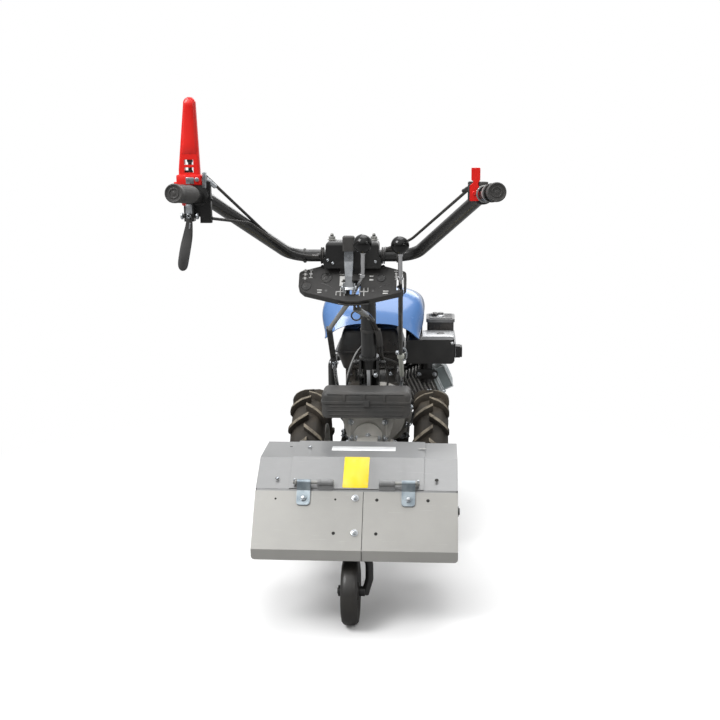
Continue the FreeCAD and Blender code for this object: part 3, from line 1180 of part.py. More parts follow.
def depth_bracket():
    """Bracket on the back of the tiller case that holds the stem."""
    back, (z0, z1) = ROTOR_Y - 66, SOCKET_Z
    web = side_plate([(back, z1), (back, z1 + 40), (DEPTH_Y + 16, z1), (DEPTH_Y + 16, z0 + 4)], -6, 6)
    socket = Part.makeCylinder(ARM_D / 2 + 7, z1 - z0, V(0, DEPTH_Y, z0))
    plate = box(-22, 22, back - 12, back + 6, z0 + 24, z1 + 54)
    return fuse([web, socket, plate]).cut(tiller_case()).cut(arm_room())


def main():
    os.makedirs("parts", exist_ok=True)
    right = {"tyre": tyre(), "rim": rim(), "hood_wing": hood_wing()}
    for name, shape in right.items():
        save(f"{name}_right", shape)
        save(f"{name}_left", mirrored(shape))
    for side, hand in ((-1, "left"), (1, "right")):
        save(f"flap_{hand}", flap_half(side))
        save(f"tine_reel_{hand}", reel(side))
        save(f"grip_{hand}", grip(side))
    save("hinge_pins", both(hinge_pin()))
    save("flap_leaves", both(flap_leaf()))
    for piece in (wheel_axle, gearbox, bell_housing, engine_block, fan_shroud, cylinder, rocker_cover,
                  recoil_starter, fuel_tank, fuel_cap, muffler, muffler_shield, air_cleaner,
                  cleaner_lid, carburettor, bonnet, engine_rails, front_guard, column, column_foot,
                  handle_clamp, lock_lever, lock_grip, panel, shift_rods, ball_knobs, selector_rods,
                  engine_cables, toolbox, handlebar, stop_lever, lever_bracket, squeeze_lever,
                  throttle_case, throttle_lever, handle_cables, tiller_case, hood_centre,
                  rotor_shaft, depth_wheel, depth_arm, depth_bracket):
        save(piece.__name__, piece())


main()
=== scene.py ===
"""Garden tiller: the looks, fastenings and rubber of a two-wheel tractor with a rear tiller.

Shapes are laid out in millimetres, from the ground under the wheel axle. Shaders, lamps, camera and whatever comes
from the frame are in metres."""
import json
import math

import bmesh
import bpy
from mathutils import Matrix, Vector


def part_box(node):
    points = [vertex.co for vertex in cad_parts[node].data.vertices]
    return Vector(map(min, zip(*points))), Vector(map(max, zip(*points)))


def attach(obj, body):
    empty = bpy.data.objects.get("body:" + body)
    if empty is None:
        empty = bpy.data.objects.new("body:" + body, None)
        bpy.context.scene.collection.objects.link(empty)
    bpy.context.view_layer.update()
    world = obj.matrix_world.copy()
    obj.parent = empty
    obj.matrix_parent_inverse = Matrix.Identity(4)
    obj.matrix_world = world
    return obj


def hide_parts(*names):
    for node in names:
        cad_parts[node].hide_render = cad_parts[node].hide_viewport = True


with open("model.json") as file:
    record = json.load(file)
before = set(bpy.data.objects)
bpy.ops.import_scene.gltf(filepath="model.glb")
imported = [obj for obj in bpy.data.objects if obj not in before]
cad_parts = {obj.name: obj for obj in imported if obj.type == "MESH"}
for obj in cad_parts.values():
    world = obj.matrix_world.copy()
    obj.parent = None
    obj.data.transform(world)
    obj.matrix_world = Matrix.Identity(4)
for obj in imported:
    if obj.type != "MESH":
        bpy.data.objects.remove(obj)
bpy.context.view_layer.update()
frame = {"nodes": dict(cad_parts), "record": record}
nodes = frame["nodes"]

MM = 0.001
SIDES = ((-1, "left"), (1, "right"))


def middle(node):
    low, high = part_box(node)
    return (low + high) / 2


# ---- shader groups ------------------------------------------------------------------------
class Net:
    """Short way to lay out the nodes of one tree."""
    def __init__(self, tree):
        self.tree = tree

    def put(self, socket, value):
        """Link, number, grey or colour into a socket."""
        if isinstance(value, bpy.types.NodeSocket):
            self.tree.links.new(value, socket)
        elif socket.type == "RGBA":
            socket.default_value = (value, value, value, 1) if isinstance(value, float) else (*value, 1)
        else:
            socket.default_value = value

    def add(self, kind, output=0, inputs=None, **settings):
        node = self.tree.nodes.new("ShaderNode" + kind)
        for name, value in settings.items():
            setattr(node, name, value)
        for key, value in (inputs or {}).items():
            self.put(node.inputs[key], value)
        return node.outputs if output is None else node.outputs[output]

    def coords(self, kind="Object"):
        return self.add("TexCoord", kind)

    def noise(self, coords, scale, detail, rough=0.55):
        return self.add("TexNoise", "Fac", {"Vector": coords, "Scale": scale, "Detail": detail, "Roughness": rough})

    def between(self, value, low, high):
        """Smooth step from low to high."""
        return self.add("MapRange", "Result", {"Value": value, "From Min": low, "From Max": high},
                        interpolation_type="SMOOTHSTEP")

    def math(self, a, b, kind="MULTIPLY"):
        return self.add("Math", 0, {0: a, 1: b}, operation=kind)

    def vector(self, kind, *values):
        return self.add("VectorMath", "Vector" if kind == "NORMALIZE" else "Value", dict(enumerate(values)),
                        operation=kind)

    def blend(self, factor, a, b):
        return self.add("Mix", 2, {0: factor, 6: a, 7: b}, data_type="RGBA")


def shader_group(name, inputs, lay_out):
    """Group with these numbers as inputs; lay_out(net, inputs) gives its outputs by name."""
    tree = bpy.data.node_groups.new(name, "ShaderNodeTree")
    for socket, value in inputs.items():
        tree.interface.new_socket(socket, in_out="INPUT", socket_type="NodeSocketFloat").default_value = value
    results = lay_out(Net(tree), tree.nodes.new("NodeGroupInput").outputs)
    for socket, value in results.items():
        kind = "NodeSocketVector" if value.type == "VECTOR" else "NodeSocketFloat"
        tree.interface.new_socket(socket, in_out="OUTPUT", socket_type=kind)
    out = tree.nodes.new("NodeGroupOutput")
    for socket, value in results.items():
        tree.links.new(value, out.inputs[socket])
    return tree


def edge_wear_and_highlight(net, into):
    """Mask of outer edges, worn on most finishes and a painted highlight on the fins: where the rounded normal leaves
    the flat one.
    """
    rounded = net.add("Bevel", 0, {"Radius": into["Width"]}, samples=4)
    same_way = net.vector("DOT_PRODUCT", rounded, net.add("NewGeometry", "Normal"))
    broken = net.between(net.noise(net.coords(), into["Scale"], 5), 0.42, 0.62)
    mask = net.math(net.math(net.between(same_way, 0.995, 0.86), broken), into["Amount"])
    return {"Mask": mask, "Normal": rounded}


def skin_grain(net, into):
    """Fine height, broad patches and specks of a painted, moulded or cast skin."""
    coords = net.coords()
    specks = net.add("TexVoronoi", "Distance", {"Vector": coords, "Scale": net.math(into["Scale"], 0.25)})
    return {"Height": net.noise(coords, into["Scale"], 3),
            "Patches": net.between(net.noise(coords, into["Patch Scale"], 6), 0.3, 0.72),
            "Specks": net.between(specks, 0.16, 0.05)}


def dry_soil(net, into):
    """Mask of dry soil: fine clouds inside broad ones."""
    coords = net.coords()
    mixed = net.math(net.noise(coords, into["Scale"], 8, 0.7), net.noise(coords, 7.0, 3))
    return {"Mask": net.math(net.between(mixed, 0.16, 0.42), into["Amount"])}


def fine_scuffs(net, into):
    """Thin straight scuffs in several directions."""
    coords, total = net.coords(), None
    for turn, stretch in ((0.5, 40), (1.9, 55), (2.7, 30)):
        spun = net.add("Mapping", 0, {"Vector": coords, "Rotation": (turn, turn * 0.7, turn),
                                      "Scale": (1, stretch, 1)})
        thin = net.between(net.noise(spun, into["Scale"], 2), 0.70, 0.76)
        total = thin if total is None else net.math(total, thin, "MAXIMUM")
    return {"Mask": net.math(total, into["Amount"])}


EDGES = shader_group("edge_wear_and_highlight", {"Width": 0.0015, "Scale": 60.0, "Amount": 1.0}, edge_wear_and_highlight)
GRAIN = shader_group("skin_grain", {"Scale": 900.0, "Patch Scale": 12.0}, skin_grain)
SOIL = shader_group("dry_soil", {"Amount": 0.5, "Scale": 30.0}, dry_soil)
SCUFFS = shader_group("fine_scuffs", {"Scale": 14.0, "Amount": 0.5}, fine_scuffs)


def finish_material(name, colour, second, roughness, metallic=0.0, coat=0.0, specular=0.5, grain=900, height=0.03,
                    patch=12, spread=0.12, edge=None, edge_width=0.0012, edge_amount=0.6, scuffs=0.0,
                    scuff_colour=None, specks=0.0, speck_colour=None, soil=0.0, soil_colour=(0.30, 0.24, 0.18)):
    """Base finish: two tones in patches, grain in the normal, specks, scuffs, worn edges (a painted highlight on the
    fins) and dry soil.
    """
    material = bpy.data.materials.new(name)
    material.use_nodes = True
    net, shader = Net(material.node_tree), material.node_tree.nodes["Principled BSDF"]

    def group(tree, **inputs):
        return net.add("Group", None, {key.replace("_", " "): value for key, value in inputs.items()}, node_tree=tree)
    skin = group(GRAIN, Scale=grain, Patch_Scale=patch)
    edges = group(EDGES, Width=edge_width, Amount=edge_amount)
    tone = net.blend(skin["Patches"], colour, second)
    rough = net.add("MapRange", "Result", {"Value": skin["Patches"], "To Min": max(roughness - spread / 2, 0.02),
                                           "To Max": min(roughness + spread / 2, 1)})
    if specks:
        tone = net.blend(net.math(skin["Specks"], specks), tone, speck_colour)
    if scuffs:
        tone = net.blend(group(SCUFFS, Amount=scuffs)["Mask"], tone, scuff_colour)
    if edge:
        tone = net.blend(edges["Mask"], tone, edge)
    if soil:
        dust = group(SOIL, Amount=soil)["Mask"]
        tone = net.blend(dust, tone, soil_colour)
        rough = net.math(rough, net.math(dust, 0.4), "ADD")
    bump = net.add("Bump", "Normal", {"Strength": 0.6, "Distance": height * MM, "Height": skin["Height"],
                                      "Normal": edges["Normal"]})
    for socket, value in {"Base Color": tone, "Roughness": rough, "Metallic": metallic, "Coat Weight": coat,
                          "Coat Roughness": 0.12, "Specular IOR Level": specular, "Normal": bump}.items():
        net.put(shader.inputs[socket], value)
    return material


STEEL_EDGE = (0.42, 0.41, 0.39)
# look: (material, first tone, second tone, roughness, what else it has); a single number is a grey
FINISHES = {
    "tyre": ("tyre_rubber", (0.022, 0.019, 0.015), (0.042, 0.035, 0.027), 0.72, dict(
        grain=700, height=0.12, patch=18, soil=0.42, soil_colour=(0.115, 0.090, 0.062), specks=0.25,
        speck_colour=(0.20, 0.17, 0.13), edge=(0.16, 0.14, 0.115))),
    "rim_paint": ("wheel_enamel", (0.50, 0.50, 0.48), (0.60, 0.60, 0.58), 0.38, dict(
        coat=0.3, soil=0.4, edge=STEEL_EDGE)),
    "axle_steel": ("turned_steel", (0.42, 0.42, 0.41), (0.52, 0.52, 0.51), 0.34, dict(
        metallic=1, scuffs=0.4, scuff_colour=(0.62, 0.62, 0.61), height=0.01)),
    "cast_alloy": ("cast_alloy", (0.46, 0.45, 0.42), (0.60, 0.585, 0.55), 0.5, dict(
        metallic=0.15, grain=420, height=0.22, patch=16, edge=(0.62, 0.61, 0.59), soil=0.2,
        soil_colour=(0.20, 0.17, 0.14))),
    "engine_dark": ("dark_casting", (0.036, 0.034, 0.031), (0.060, 0.057, 0.052), 0.5, dict(
        grain=420, height=0.2, metallic=0.3, edge=(0.22, 0.21, 0.19), soil=0.12)),
    "cowl_black": ("cowl_paint", 0.020, (0.034, 0.033, 0.032), 0.34, dict(coat=0.35, edge=0.16, soil=0.12)),
    "shield_bright": ("pressed_shield", (0.46, 0.47, 0.48), (0.60, 0.61, 0.62), 0.36, dict(
        metallic=0.8, scuffs=0.5, scuff_colour=0.72, height=0.02)),
    # fins: the near-white edge colour, laid on at full strength, is a painted highlight along the fin edges
    "fin_alloy": ("raw_fins", (0.22, 0.215, 0.205), (0.36, 0.35, 0.335), 0.5, dict(
        metallic=0.6, grain=420, height=0.16, edge=(0.85, 0.84, 0.80), edge_width=0.0018, edge_amount=1.6)),
    "rocker_silver": ("silver_cover", (0.44, 0.49, 0.50), (0.56, 0.61, 0.62), 0.36, dict(
        metallic=0.2, coat=0.2, edge=(0.72, 0.74, 0.76))),
    "tank_black": ("tank_black", 0.012, 0.020, 0.30, dict(coat=0.5, edge=0.10, soil=0.08)),
    "heat_black": ("heat_proof_black", 0.012, (0.022, 0.021, 0.020), 0.42, dict(
        grain=500, height=0.05, edge=(0.13, 0.125, 0.12), coat=0.2)),
    "black_plastic": ("grained_plastic", 0.026, (0.042, 0.042, 0.041), 0.58, dict(
        grain=650, height=0.12, patch=9, edge=0.11, edge_amount=0.5, scuffs=0.25, scuff_colour=0.09, soil=0.12)),
    "bonnet_blue": ("blue_moulding", (0.066, 0.180, 0.440), (0.082, 0.205, 0.475), 0.26, dict(
        coat=0.8, patch=6, height=0.004, edge=(0.30, 0.46, 0.76), edge_amount=0.5)),
    "tube_black": ("powder_black", 0.013, (0.022, 0.022, 0.021), 0.36, dict(
        coat=0.25, grain=800, height=0.05, edge=0.12, scuffs=0.2, scuff_colour=0.08)),
    "zinc": ("zinc_plate", (0.44, 0.47, 0.50), (0.60, 0.62, 0.64), 0.30, dict(
        metallic=0.95, grain=500, height=0.04, patch=45, edge=0.80, spread=0.2)),
    "grip_rubber": ("grip_rubber", (0.050, 0.048, 0.046), (0.078, 0.075, 0.072), 0.5, dict(
        grain=700, height=0.06, edge=(0.19, 0.185, 0.18), edge_amount=0.5)),
    "red_plastic": ("red_moulding", (0.74, 0.008, 0.006), (0.84, 0.014, 0.008), 0.34, dict(
        coat=0.25, height=0.01, edge=(0.95, 0.10, 0.07), edge_amount=0.4)),
    "knob_black": ("polished_knob", 0.005, 0.008, 0.10, dict(
        coat=0.25, specular=0.3, height=0.002, scuffs=0.15, scuff_colour=0.05)),
    "panel_dark": ("gate_plate", (0.024, 0.023, 0.022), (0.040, 0.038, 0.036), 0.55, dict(
        grain=600, height=0.1, edge=(0.13, 0.125, 0.12))),
    "hood_silver": ("hood_enamel", (0.215, 0.217, 0.218), (0.255, 0.257, 0.258), 0.40, dict(
        metallic=0.25, coat=0.2, grain=1100, patch=8, edge=(0.48, 0.48, 0.47), scuffs=0.25,
        scuff_colour=(0.40, 0.40, 0.39), specks=0.3, speck_colour=(0.36, 0.36, 0.35))),
    "flap_silver": ("flap_enamel", (0.335, 0.33, 0.312), (0.375, 0.368, 0.348), 0.42, dict(
        metallic=0.2, coat=0.2, grain=1100, patch=7, edge=(0.62, 0.61, 0.59), scuffs=0.25,
        scuff_colour=(0.53, 0.52, 0.50), specks=0.3, speck_colour=(0.50, 0.49, 0.465))),
    "tine_paint": ("tine_enamel", 0.018, (0.032, 0.030, 0.028), 0.45, dict(
        soil=0.3, edge=STEEL_EDGE, edge_amount=0.9, scuffs=0.4, scuff_colour=(0.25, 0.24, 0.23))),
    "depth_rubber": ("solid_rubber", (0.014, 0.013, 0.012), (0.024, 0.022, 0.019), 0.45, dict(
        grain=600, height=0.05, soil=0.06, soil_colour=(0.10, 0.085, 0.065), edge=(0.10, 0.095, 0.09),
        edge_amount=0.4, coat=0.15)),
    "chrome": ("bright_chrome", (0.50, 0.50, 0.51), (0.60, 0.60, 0.61), 0.13, dict(
        metallic=1, height=0.002, patch=30, spread=0.06)),
    "dull_zinc": ("dull_zinc", (0.27, 0.27, 0.255), (0.37, 0.37, 0.35), 0.42, dict(
        metallic=0.35, grain=500, patch=40)),
    "blued_zinc": ("blued_zinc", (0.20, 0.24, 0.27), (0.34, 0.39, 0.42), 0.36, dict(
        metallic=0.8, grain=500, patch=40, edge=(0.7, 0.72, 0.74))),
    "machined_ring": ("pale_ring", (0.36, 0.355, 0.35), (0.48, 0.47, 0.46), 0.4, dict(patch=50, height=0.02)),
    # rim of the rocker cover: its pale colour is a painted highlight
    "rocker_rim_highlight": ("rim_painted_highlight", (0.72, 0.76, 0.77), (0.82, 0.85, 0.86), 0.35, dict(
        metallic=0.2, patch=40, height=0.01)),
    "pale_sleeve": ("pale_sleeve", (0.44, 0.45, 0.40), (0.52, 0.53, 0.47), 0.5, dict(patch=30)),
    # panel inside the rocker cover's frame: its darker colour is painted shade
    "rocker_painted_shade": ("cover_painted_shade", (0.24, 0.28, 0.285), (0.31, 0.355, 0.36), 0.45, dict(
        grain=420, height=0.1, patch=30)),
    # grey of the air cleaner's lid, lighter than its black box: painted highlight on the cleaner's top
    "cleaner_lid": ("lid_painted_highlight", 0.12, (0.17, 0.17, 0.168), 0.48, dict(
        grain=650, height=0.1, edge=0.26, edge_amount=0.4)),
    "toolbox": ("toolbox_moulding", (0.050, 0.050, 0.049), (0.070, 0.069, 0.067), 0.55, dict(
        grain=650, height=0.12, patch=9, edge=(0.15, 0.15, 0.148), edge_amount=0.5, scuffs=0.25, scuff_colour=0.13,
        soil=0.06)),
    "mark_faint": ("mark_faint", (0.10, 0.10, 0.098), (0.15, 0.15, 0.148), 0.5, dict(patch=60, height=0.01)),
    "mark_white": ("mark_white", (0.62, 0.62, 0.60), (0.74, 0.74, 0.72), 0.5, dict(patch=60, height=0.01)),
    "plate_yellow": ("plate_yellow", (0.90, 0.66, 0.002), (0.92, 0.70, 0.003), 0.40, dict(
        coat=0.15, patch=25, height=0.01, edge=(0.9, 0.85, 0.6), scuffs=0.2, scuff_colour=(0.9, 0.78, 0.3))),
    "strip_white": ("strip_white", (0.84, 0.85, 0.86), (0.90, 0.91, 0.92), 0.32, dict(
        coat=0.4, patch=25, height=0.01, scuffs=0.2, scuff_colour=0.6)),
    # painted shade inside the holes; the same dark also draws the flap's seam line
    "hole_dark": ("hole_shadow", (0.012, 0.011, 0.010), (0.03, 0.028, 0.026), 0.8, dict(height=0.05)),
}
LOOKS = {look: finish_material(*row[:4], **row[4]) for look, row in FINISHES.items()}


def dust_the_lugs():
    """Pale dry soil on the outer faces of the lugs, found by their distance from the axle and their slope."""
    material = LOOKS["tyre"].copy()
    material.name = "tyre_lug_rubber"
    net, colour = Net(material.node_tree), material.node_tree.nodes["Principled BSDF"].inputs["Base Color"]
    low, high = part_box("tyre_left")
    radius = (high.z - low.z) / 2

    def across_axle(kind, shift):
        return net.add("Mapping", 0, {"Vector": net.coords(kind), "Location": (0, -shift.y, -shift.z),
                                      "Scale": (0, 1, 1)})
    out = across_axle("Object", middle("tyre_left"))
    slope = net.vector("DOT_PRODUCT", net.vector("NORMALIZE", out), across_axle("Normal", Vector()))
    lug_foot, lug_face = radius - 0.0185, radius - 0.0125
    outer = net.math(net.between(slope, 0.45, 0.85), net.between(net.vector("LENGTH", out), lug_foot, lug_face))
    amount = net.math(outer, net.between(net.noise(net.coords(), 55, 6, 0.65), 0.25, 0.6))
    net.put(colour, net.blend(amount, colour.links[0].from_socket, (0.215, 0.185, 0.140)))
    return material


LOOKS["tyre_lug"] = dust_the_lugs()
# nodes whose finish is closer than the one of their slot; the cleaner lid's grey is painted highlight on its top
FINER = {"lever_bracket": "tube_black", "cleaner_lid": "cleaner_lid", "toolbox": "toolbox",
         "flap_leaves": "blued_zinc", "hinge_pins": "dull_zinc"}


def dress_nodes():
    """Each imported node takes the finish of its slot, or a closer one of its own."""
    slots = {part["node"]: part["material_slot"] for part in frame["record"]["subparts"]}
    for name, node in nodes.items():
        node.data.materials.clear()
        node.data.materials.append(LOOKS[FINER.get(name, slots[name])])


# ---- mesh making --------------------------------------------------------------------------
def object_from(name, build):
    """Scene object from a bmesh, its faces turned outward."""
    mesh = bpy.data.meshes.new(name)
    bmesh.ops.recalc_face_normals(build, faces=build.faces)
    build.to_mesh(mesh)
    build.free()
    thing = bpy.data.objects.new(name, mesh)
    bpy.context.scene.collection.objects.link(thing)
    return thing


def apply_modifiers(thing):
    depsgraph = bpy.context.evaluated_depsgraph_get()
    finished = bpy.data.meshes.new_from_object(thing.evaluated_get(depsgraph))
    thing.modifiers.clear()
    thing.data = finished


def round_edges(thing, width, segments):
    rounding = thing.modifiers.new("rounding", "BEVEL")
    rounding.width, rounding.segments = width * MM, segments
    rounding.limit_method, rounding.angle_limit = "ANGLE", math.radians(30)
    apply_modifiers(thing)


def finish_piece(thing, body, look, smooth, replaces=None):
    thing.data.shade_smooth()
    thing.data.set_sharp_from_angle(angle=math.radians(smooth))
    thing.data.materials.append(LOOKS[look])
    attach(thing, body)
    if replaces:
        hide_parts(replaces)


def piece(name, body, look, shapes, bevel=0.0, segments=2, smooth=35.0, replaces=None):
    """Object from shapes, bevelled and smoothed, riding on a body."""
    build = bmesh.new()
    for shape in shapes:
        shape(build)
    thing = object_from(name, build)
    if bevel:
        round_edges(thing, bevel, segments)
    finish_piece(thing, body, look, smooth, replaces)


def spot(x, y, z):
    """Point in metres from its place in millimetres."""
    return Vector((x, y, z)) * MM + Vector((0, middle("wheel_axle").y, 0))


def point(where):
    return where if isinstance(where, Vector) else spot(*where)


def facing(where, way):
    """Placement at a point with its Z along a direction."""
    return Matrix.Translation(point(where)) @ Vector(way).normalized().to_track_quat("Z", "Y").to_matrix().to_4x4()


def placed(x, y, z, turn=0.0, axis="X"):
    """Placement at a point, turned by degrees about an axis."""
    return Matrix.Translation(spot(x, y, z)) @ Matrix.Rotation(math.radians(turn), 4, axis)


def on_axle(hub):
    return Matrix.Translation(hub) @ Matrix.Rotation(math.pi / 2, 4, "Y")


def on_circle(radius, degrees):
    return radius * math.cos(math.radians(degrees)), radius * math.sin(math.radians(degrees))


def near(a, b, share):
    return tuple(p + (q - p) * share for p, q in zip(a, b))


def skin_between(build, rows, closed=False):
    """Faces between neighbouring rows of corners."""
    for a, b in zip(rows, rows[1:]):
        for k in range(len(a) if closed else len(a) - 1):
            n = (k + 1) % len(a)
            build.faces.new([a[k], a[n], b[n], b[k]])


def together(shapes):
    return lambda build: [shape(build) for shape in shapes]


def turned(profile, where, way=None, steps=24):
    """(radius, height) points turned about a direction, or about a placement's Z."""
    if not isinstance(where, Matrix):
        where = facing(where, way) if way else Matrix.Translation(point(where))

    def add(build):
        rings = []
        for radius, height in profile:
            corners = [(radius, 0)] if radius < 1e-3 else [on_circle(radius, 360 * k / steps) for k in range(steps)]
            rings.append([build.verts.new(where @ (Vector((x, y, height)) * MM)) for x, y in corners])
        for a, b in zip(rings, rings[1:]):
            for k in range(steps):
                corners = [a[k % len(a)], a[(k + 1) % len(a)], b[(k + 1) % len(b)], b[k % len(b)]]
                unique = [v for i, v in enumerate(corners) if v not in corners[:i]]
                if len(unique) > 2:
                    build.faces.new(unique)
    return add


def disc(radius, low, high, where, way=None, steps=24):
    return turned([(0, low), (radius, low), (radius, high), (0, high)], where, way, steps)


def ring(inner, outer, low, high, where, way=None, steps=40):
    return turned([(inner, low), (outer, low), (outer, high), (inner, high)], where, way, steps)


def ball(radius, where, way, half_steps, steps):
    arc = [on_circle(radius, 180 * k / half_steps - 90) for k in range(half_steps + 1)]
    return turned([(max(x, 0), y) for x, y in arc], where, way, steps)


def block(half, where):
    """Box of half sizes at a point or a placement."""
    place = where if isinstance(where, Matrix) else Matrix.Translation(point(where))

    def add(build):
        corners = [build.verts.new(place @ (Vector((x * half[0], y * half[1], z * half[2])) * MM))
                   for x in (-1, 1) for y in (-1, 1) for z in (-1, 1)]
        for face in ((0, 1, 3, 2), (4, 6, 7, 5), (0, 4, 5, 1), (2, 3, 7, 6), (0, 2, 6, 4), (1, 5, 7, 3)):
            build.faces.new([corners[i] for i in face])
    return add


def solid_between(near_side, far_side):
    """Closed solid between two matching outlines. How a bowed face splits depends on the order of its corners."""
    def add(build):
        a, b = ([build.verts.new(p) for p in row] for row in (near_side, far_side))
        build.faces.new(a)
        build.faces.new(b[::-1])
        for k in range(len(a)):
            n = (k + 1) % len(a)
            build.faces.new([a[k], b[k], b[n], a[n]])
    return add


def prism(outline, place, thickness):
    """(x, y) outline thick along the placement's Z."""
    def add(build):
        rows = [[build.verts.new(place @ (Vector((x, y, z)) * MM)) for x, y in outline] for z in (0, thickness)]
        build.faces.new(rows[0][::-1])
        build.faces.new(rows[1])
        skin_between(build, rows, closed=True)
    return add


def smooth_route(points, steps=8):
    """Points along a rounded line through the given ones."""
    p = [Vector(q) for q in points]
    p = [p[0] * 2 - p[1]] + p + [p[-1] * 2 - p[-2]]
    line = []
    for a, b, c, d in zip(p, p[1:], p[2:], p[3:]):
        for t in (k / steps for k in range(steps)):
            line.append(0.5 * ((2 * b) + (c - a) * t + (2 * a - 5 * b + 4 * c - d) * t ** 2
                               + (3 * b - a - 3 * c + d) * t ** 3))
    return line + [p[-2]]


def tube(points, radius, sides=14):
    """Round bar along a line of points."""
    line = [point(p) for p in points]

    def add(build):
        ahead = (line[1] - line[0]).normalized()
        side = ahead.orthogonal().normalized()
        rings = []
        for i, at in enumerate(line):
            if i:
                turn = (line[i] - line[i - 1]).normalized()
                after = (line[i + 1] - line[i]).normalized() if i + 1 < len(line) else turn
                side = (ahead.rotation_difference((turn + after).normalized()) @ side).normalized()
                ahead = (turn + after).normalized()
            up = ahead.cross(side)
            rings.append([build.verts.new(at + (side * x + up * y) * MM)
                          for x, y in (on_circle(radius, 360 * k / sides) for k in range(sides))])
        skin_between(build, rings, closed=True)
        build.faces.new(rings[0][::-1])
        build.faces.new(rings[-1])
    return add


def rod(points, radius, steps=6, sides=18):
    """Round bar through points with softly rounded turns."""
    return tube(smooth_route([point(p) for p in points], steps), radius, sides)


def hex_bolt(where, way, flats, height, washer=True, dome=True):
    """Hexagon head on its washer."""
    place, r = facing(where, way), flats / math.sqrt(3)
    base = height * 0.25 if washer else 0.0
    top = base + height
    shapes = [disc(r * 1.35, 0, base, place, steps=28)] if washer else []
    hexagon = [on_circle(r, 60 * k) for k in range(6)]
    shapes.append(prism(hexagon, place @ Matrix.Translation((0, 0, base * MM)), height))
    if dome:
        shapes.append(turned([(0, top - 0.5), (r * 0.55, top - 0.5), (r * 0.55, top + height * 0.3),
                              (r * 0.42, top + height * 0.42), (0, top + height * 0.42)], place, steps=20))
    return together(shapes)


def pan_head(where, way, diameter, height):
    """Domed screw head with a socket."""
    shape = ((0, 0), (1, 0), (1, 0.35), (0.82, 0.8), (0.5, 1), (0.36, 1), (0.36, 0.45), (0, 0.45))
    return turned([(x * diameter / 2, y * height) for x, y in shape], where, way)


def rounded_outline(width, height, radius, steps=5):
    """Rectangle with round corners, centred."""
    points = []
    for cx, cy, start in ((1, 1, 0), (-1, 1, 90), (-1, -1, 180), (1, -1, 270)):
        for k in range(steps + 1):
            x, y = on_circle(radius, start + 90 * k / steps)
            points.append((cx * (width / 2 - radius) + x, cy * (height / 2 - radius) + y))
    return points


def bolt_set(name, places, way, flats, body="chassis", look="zinc"):
    """Hexagon bolts that all face one way."""
    piece(name, body, look, [hex_bolt(at, way, flats, flats * 0.55) for at in places], bevel=0.5)


def screw_set(name, places, way, diameter, look="zinc", height=0.4):
    """Domed socket screws that all face one way."""
    piece(name, "chassis", look, [pan_head(at, way, diameter, diameter * height) for at in places])


def hole_set(name, places, way, diameter, body="chassis"):
    """Punched holes drawn as dark discs of painted shade, with a thin rolled rim, set a hair proud of their sheet."""
    r = diameter / 2
    rim = [(0, 0.3), (r * 0.98, 0.3), (r, 0.1), (r, -0.6), (0, -0.6)]
    piece(name, body, "hole_dark", [turned(rim, at, way) for at in places])


def thin_plate(name, outline, place, thickness, look):
    """Flat plate with softened edges, lying on a face."""
    piece(name, "chassis", look, [prism(outline, place, thickness)], bevel=thickness * 0.3)


dress_nodes()


# ---- wheels -------------------------------------------------------------------------------
def lug_pattern(half):
    """Corners and faces of one lug laid flat, in metres: along the axle, across and down from the crown."""
    foot, face, tuck = 8.8, 5.5, 4
    path = [(-5, 0.0, 21), (18, 0.0, 21), (half - 30, 0.2, 21.5), (half - 18, 3.4, 26), (half - 8.5, 8.2, 34),
            (half - 2.2, 16.5, 40), (half, 24, 43), (half, 36, 43.5), (half - 4, 43, 43.8)]
    build, rows = bmesh.new(), []
    for i, (x, drop, sink) in enumerate(path):
        low_x = x - (tuck if i > 3 else 0)
        rows.append([build.verts.new(Vector(corner) * MM) for corner in (
            (low_x, -foot, sink), (x, -face, drop), (x, face, drop), (low_x, foot, sink))])
    skin_between(build, rows, closed=True)
    build.faces.new(rows[0])
    build.faces.new(rows[-1][::-1])
    lug = object_from("lug_flat", build)
    round_edges(lug, 1.6, 2)
    corners = [tuple(v.co) for v in lug.data.vertices]
    faces = [tuple(p.vertices) for p in lug.data.polygons]
    bpy.data.objects.remove(lug)
    return corners, faces


def wheel_tread(hand, side):
    """Rounded carcass with moulded rings and slanted lugs that follow its crown."""
    name, body = f"tyre_{side}", f"wheel_{side}"
    low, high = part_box(name)
    hub, outer_r, half = (low + high) / 2, (high.z - low.z) / 2 / MM, (high.x - low.x) / 2 / MM
    lug_height, bead_r, wall = 19, 104, half - 4
    floor_r = outer_r - lug_height
    profile = [(bead_r, -39), (bead_r + 10, -42.5), (bead_r + 22, -wall + 2)]
    profile += [(r - 0.5, h) for r, h in (
        (bead_r + 34, -wall), (bead_r + 37, -wall - 1.2), (bead_r + 40, -wall), (floor_r - 30, -wall),
        (floor_r - 24, -wall + 1), (floor_r - 12, -wall + 8), (floor_r - 3, -half + 18), (floor_r, -half + 26),
        (floor_r, 0))]
    profile += [(r, -h) for r, h in profile[-2::-1]]
    piece(f"{name}_carcass", body, "tyre", [turned(profile, on_axle(hub), steps=128)], smooth=40, replaces=name)

    corners, faces = lug_pattern(half)
    count, slope, crown = 16, math.tan(math.radians(38)), outer_r * MM

    def lugs(build):
        for way in (-1, 1):
            for k in range(count):
                start = 2 * math.pi / count * (k + (0.5 if way * hand > 0 else 0))
                verts = []
                for x, across, drop in corners:
                    angle = start + (across - max(x + 0.005, 0) * slope) / crown
                    r = min(crown - drop, crown)
                    verts.append(build.verts.new(hub + Vector((way * x, r * math.sin(angle), r * math.cos(angle)))))
                for face in faces:
                    build.faces.new([verts[i] for i in face[::way]])
    piece(f"{name}_lugs", body, "tyre_lug", [lugs], smooth=32)


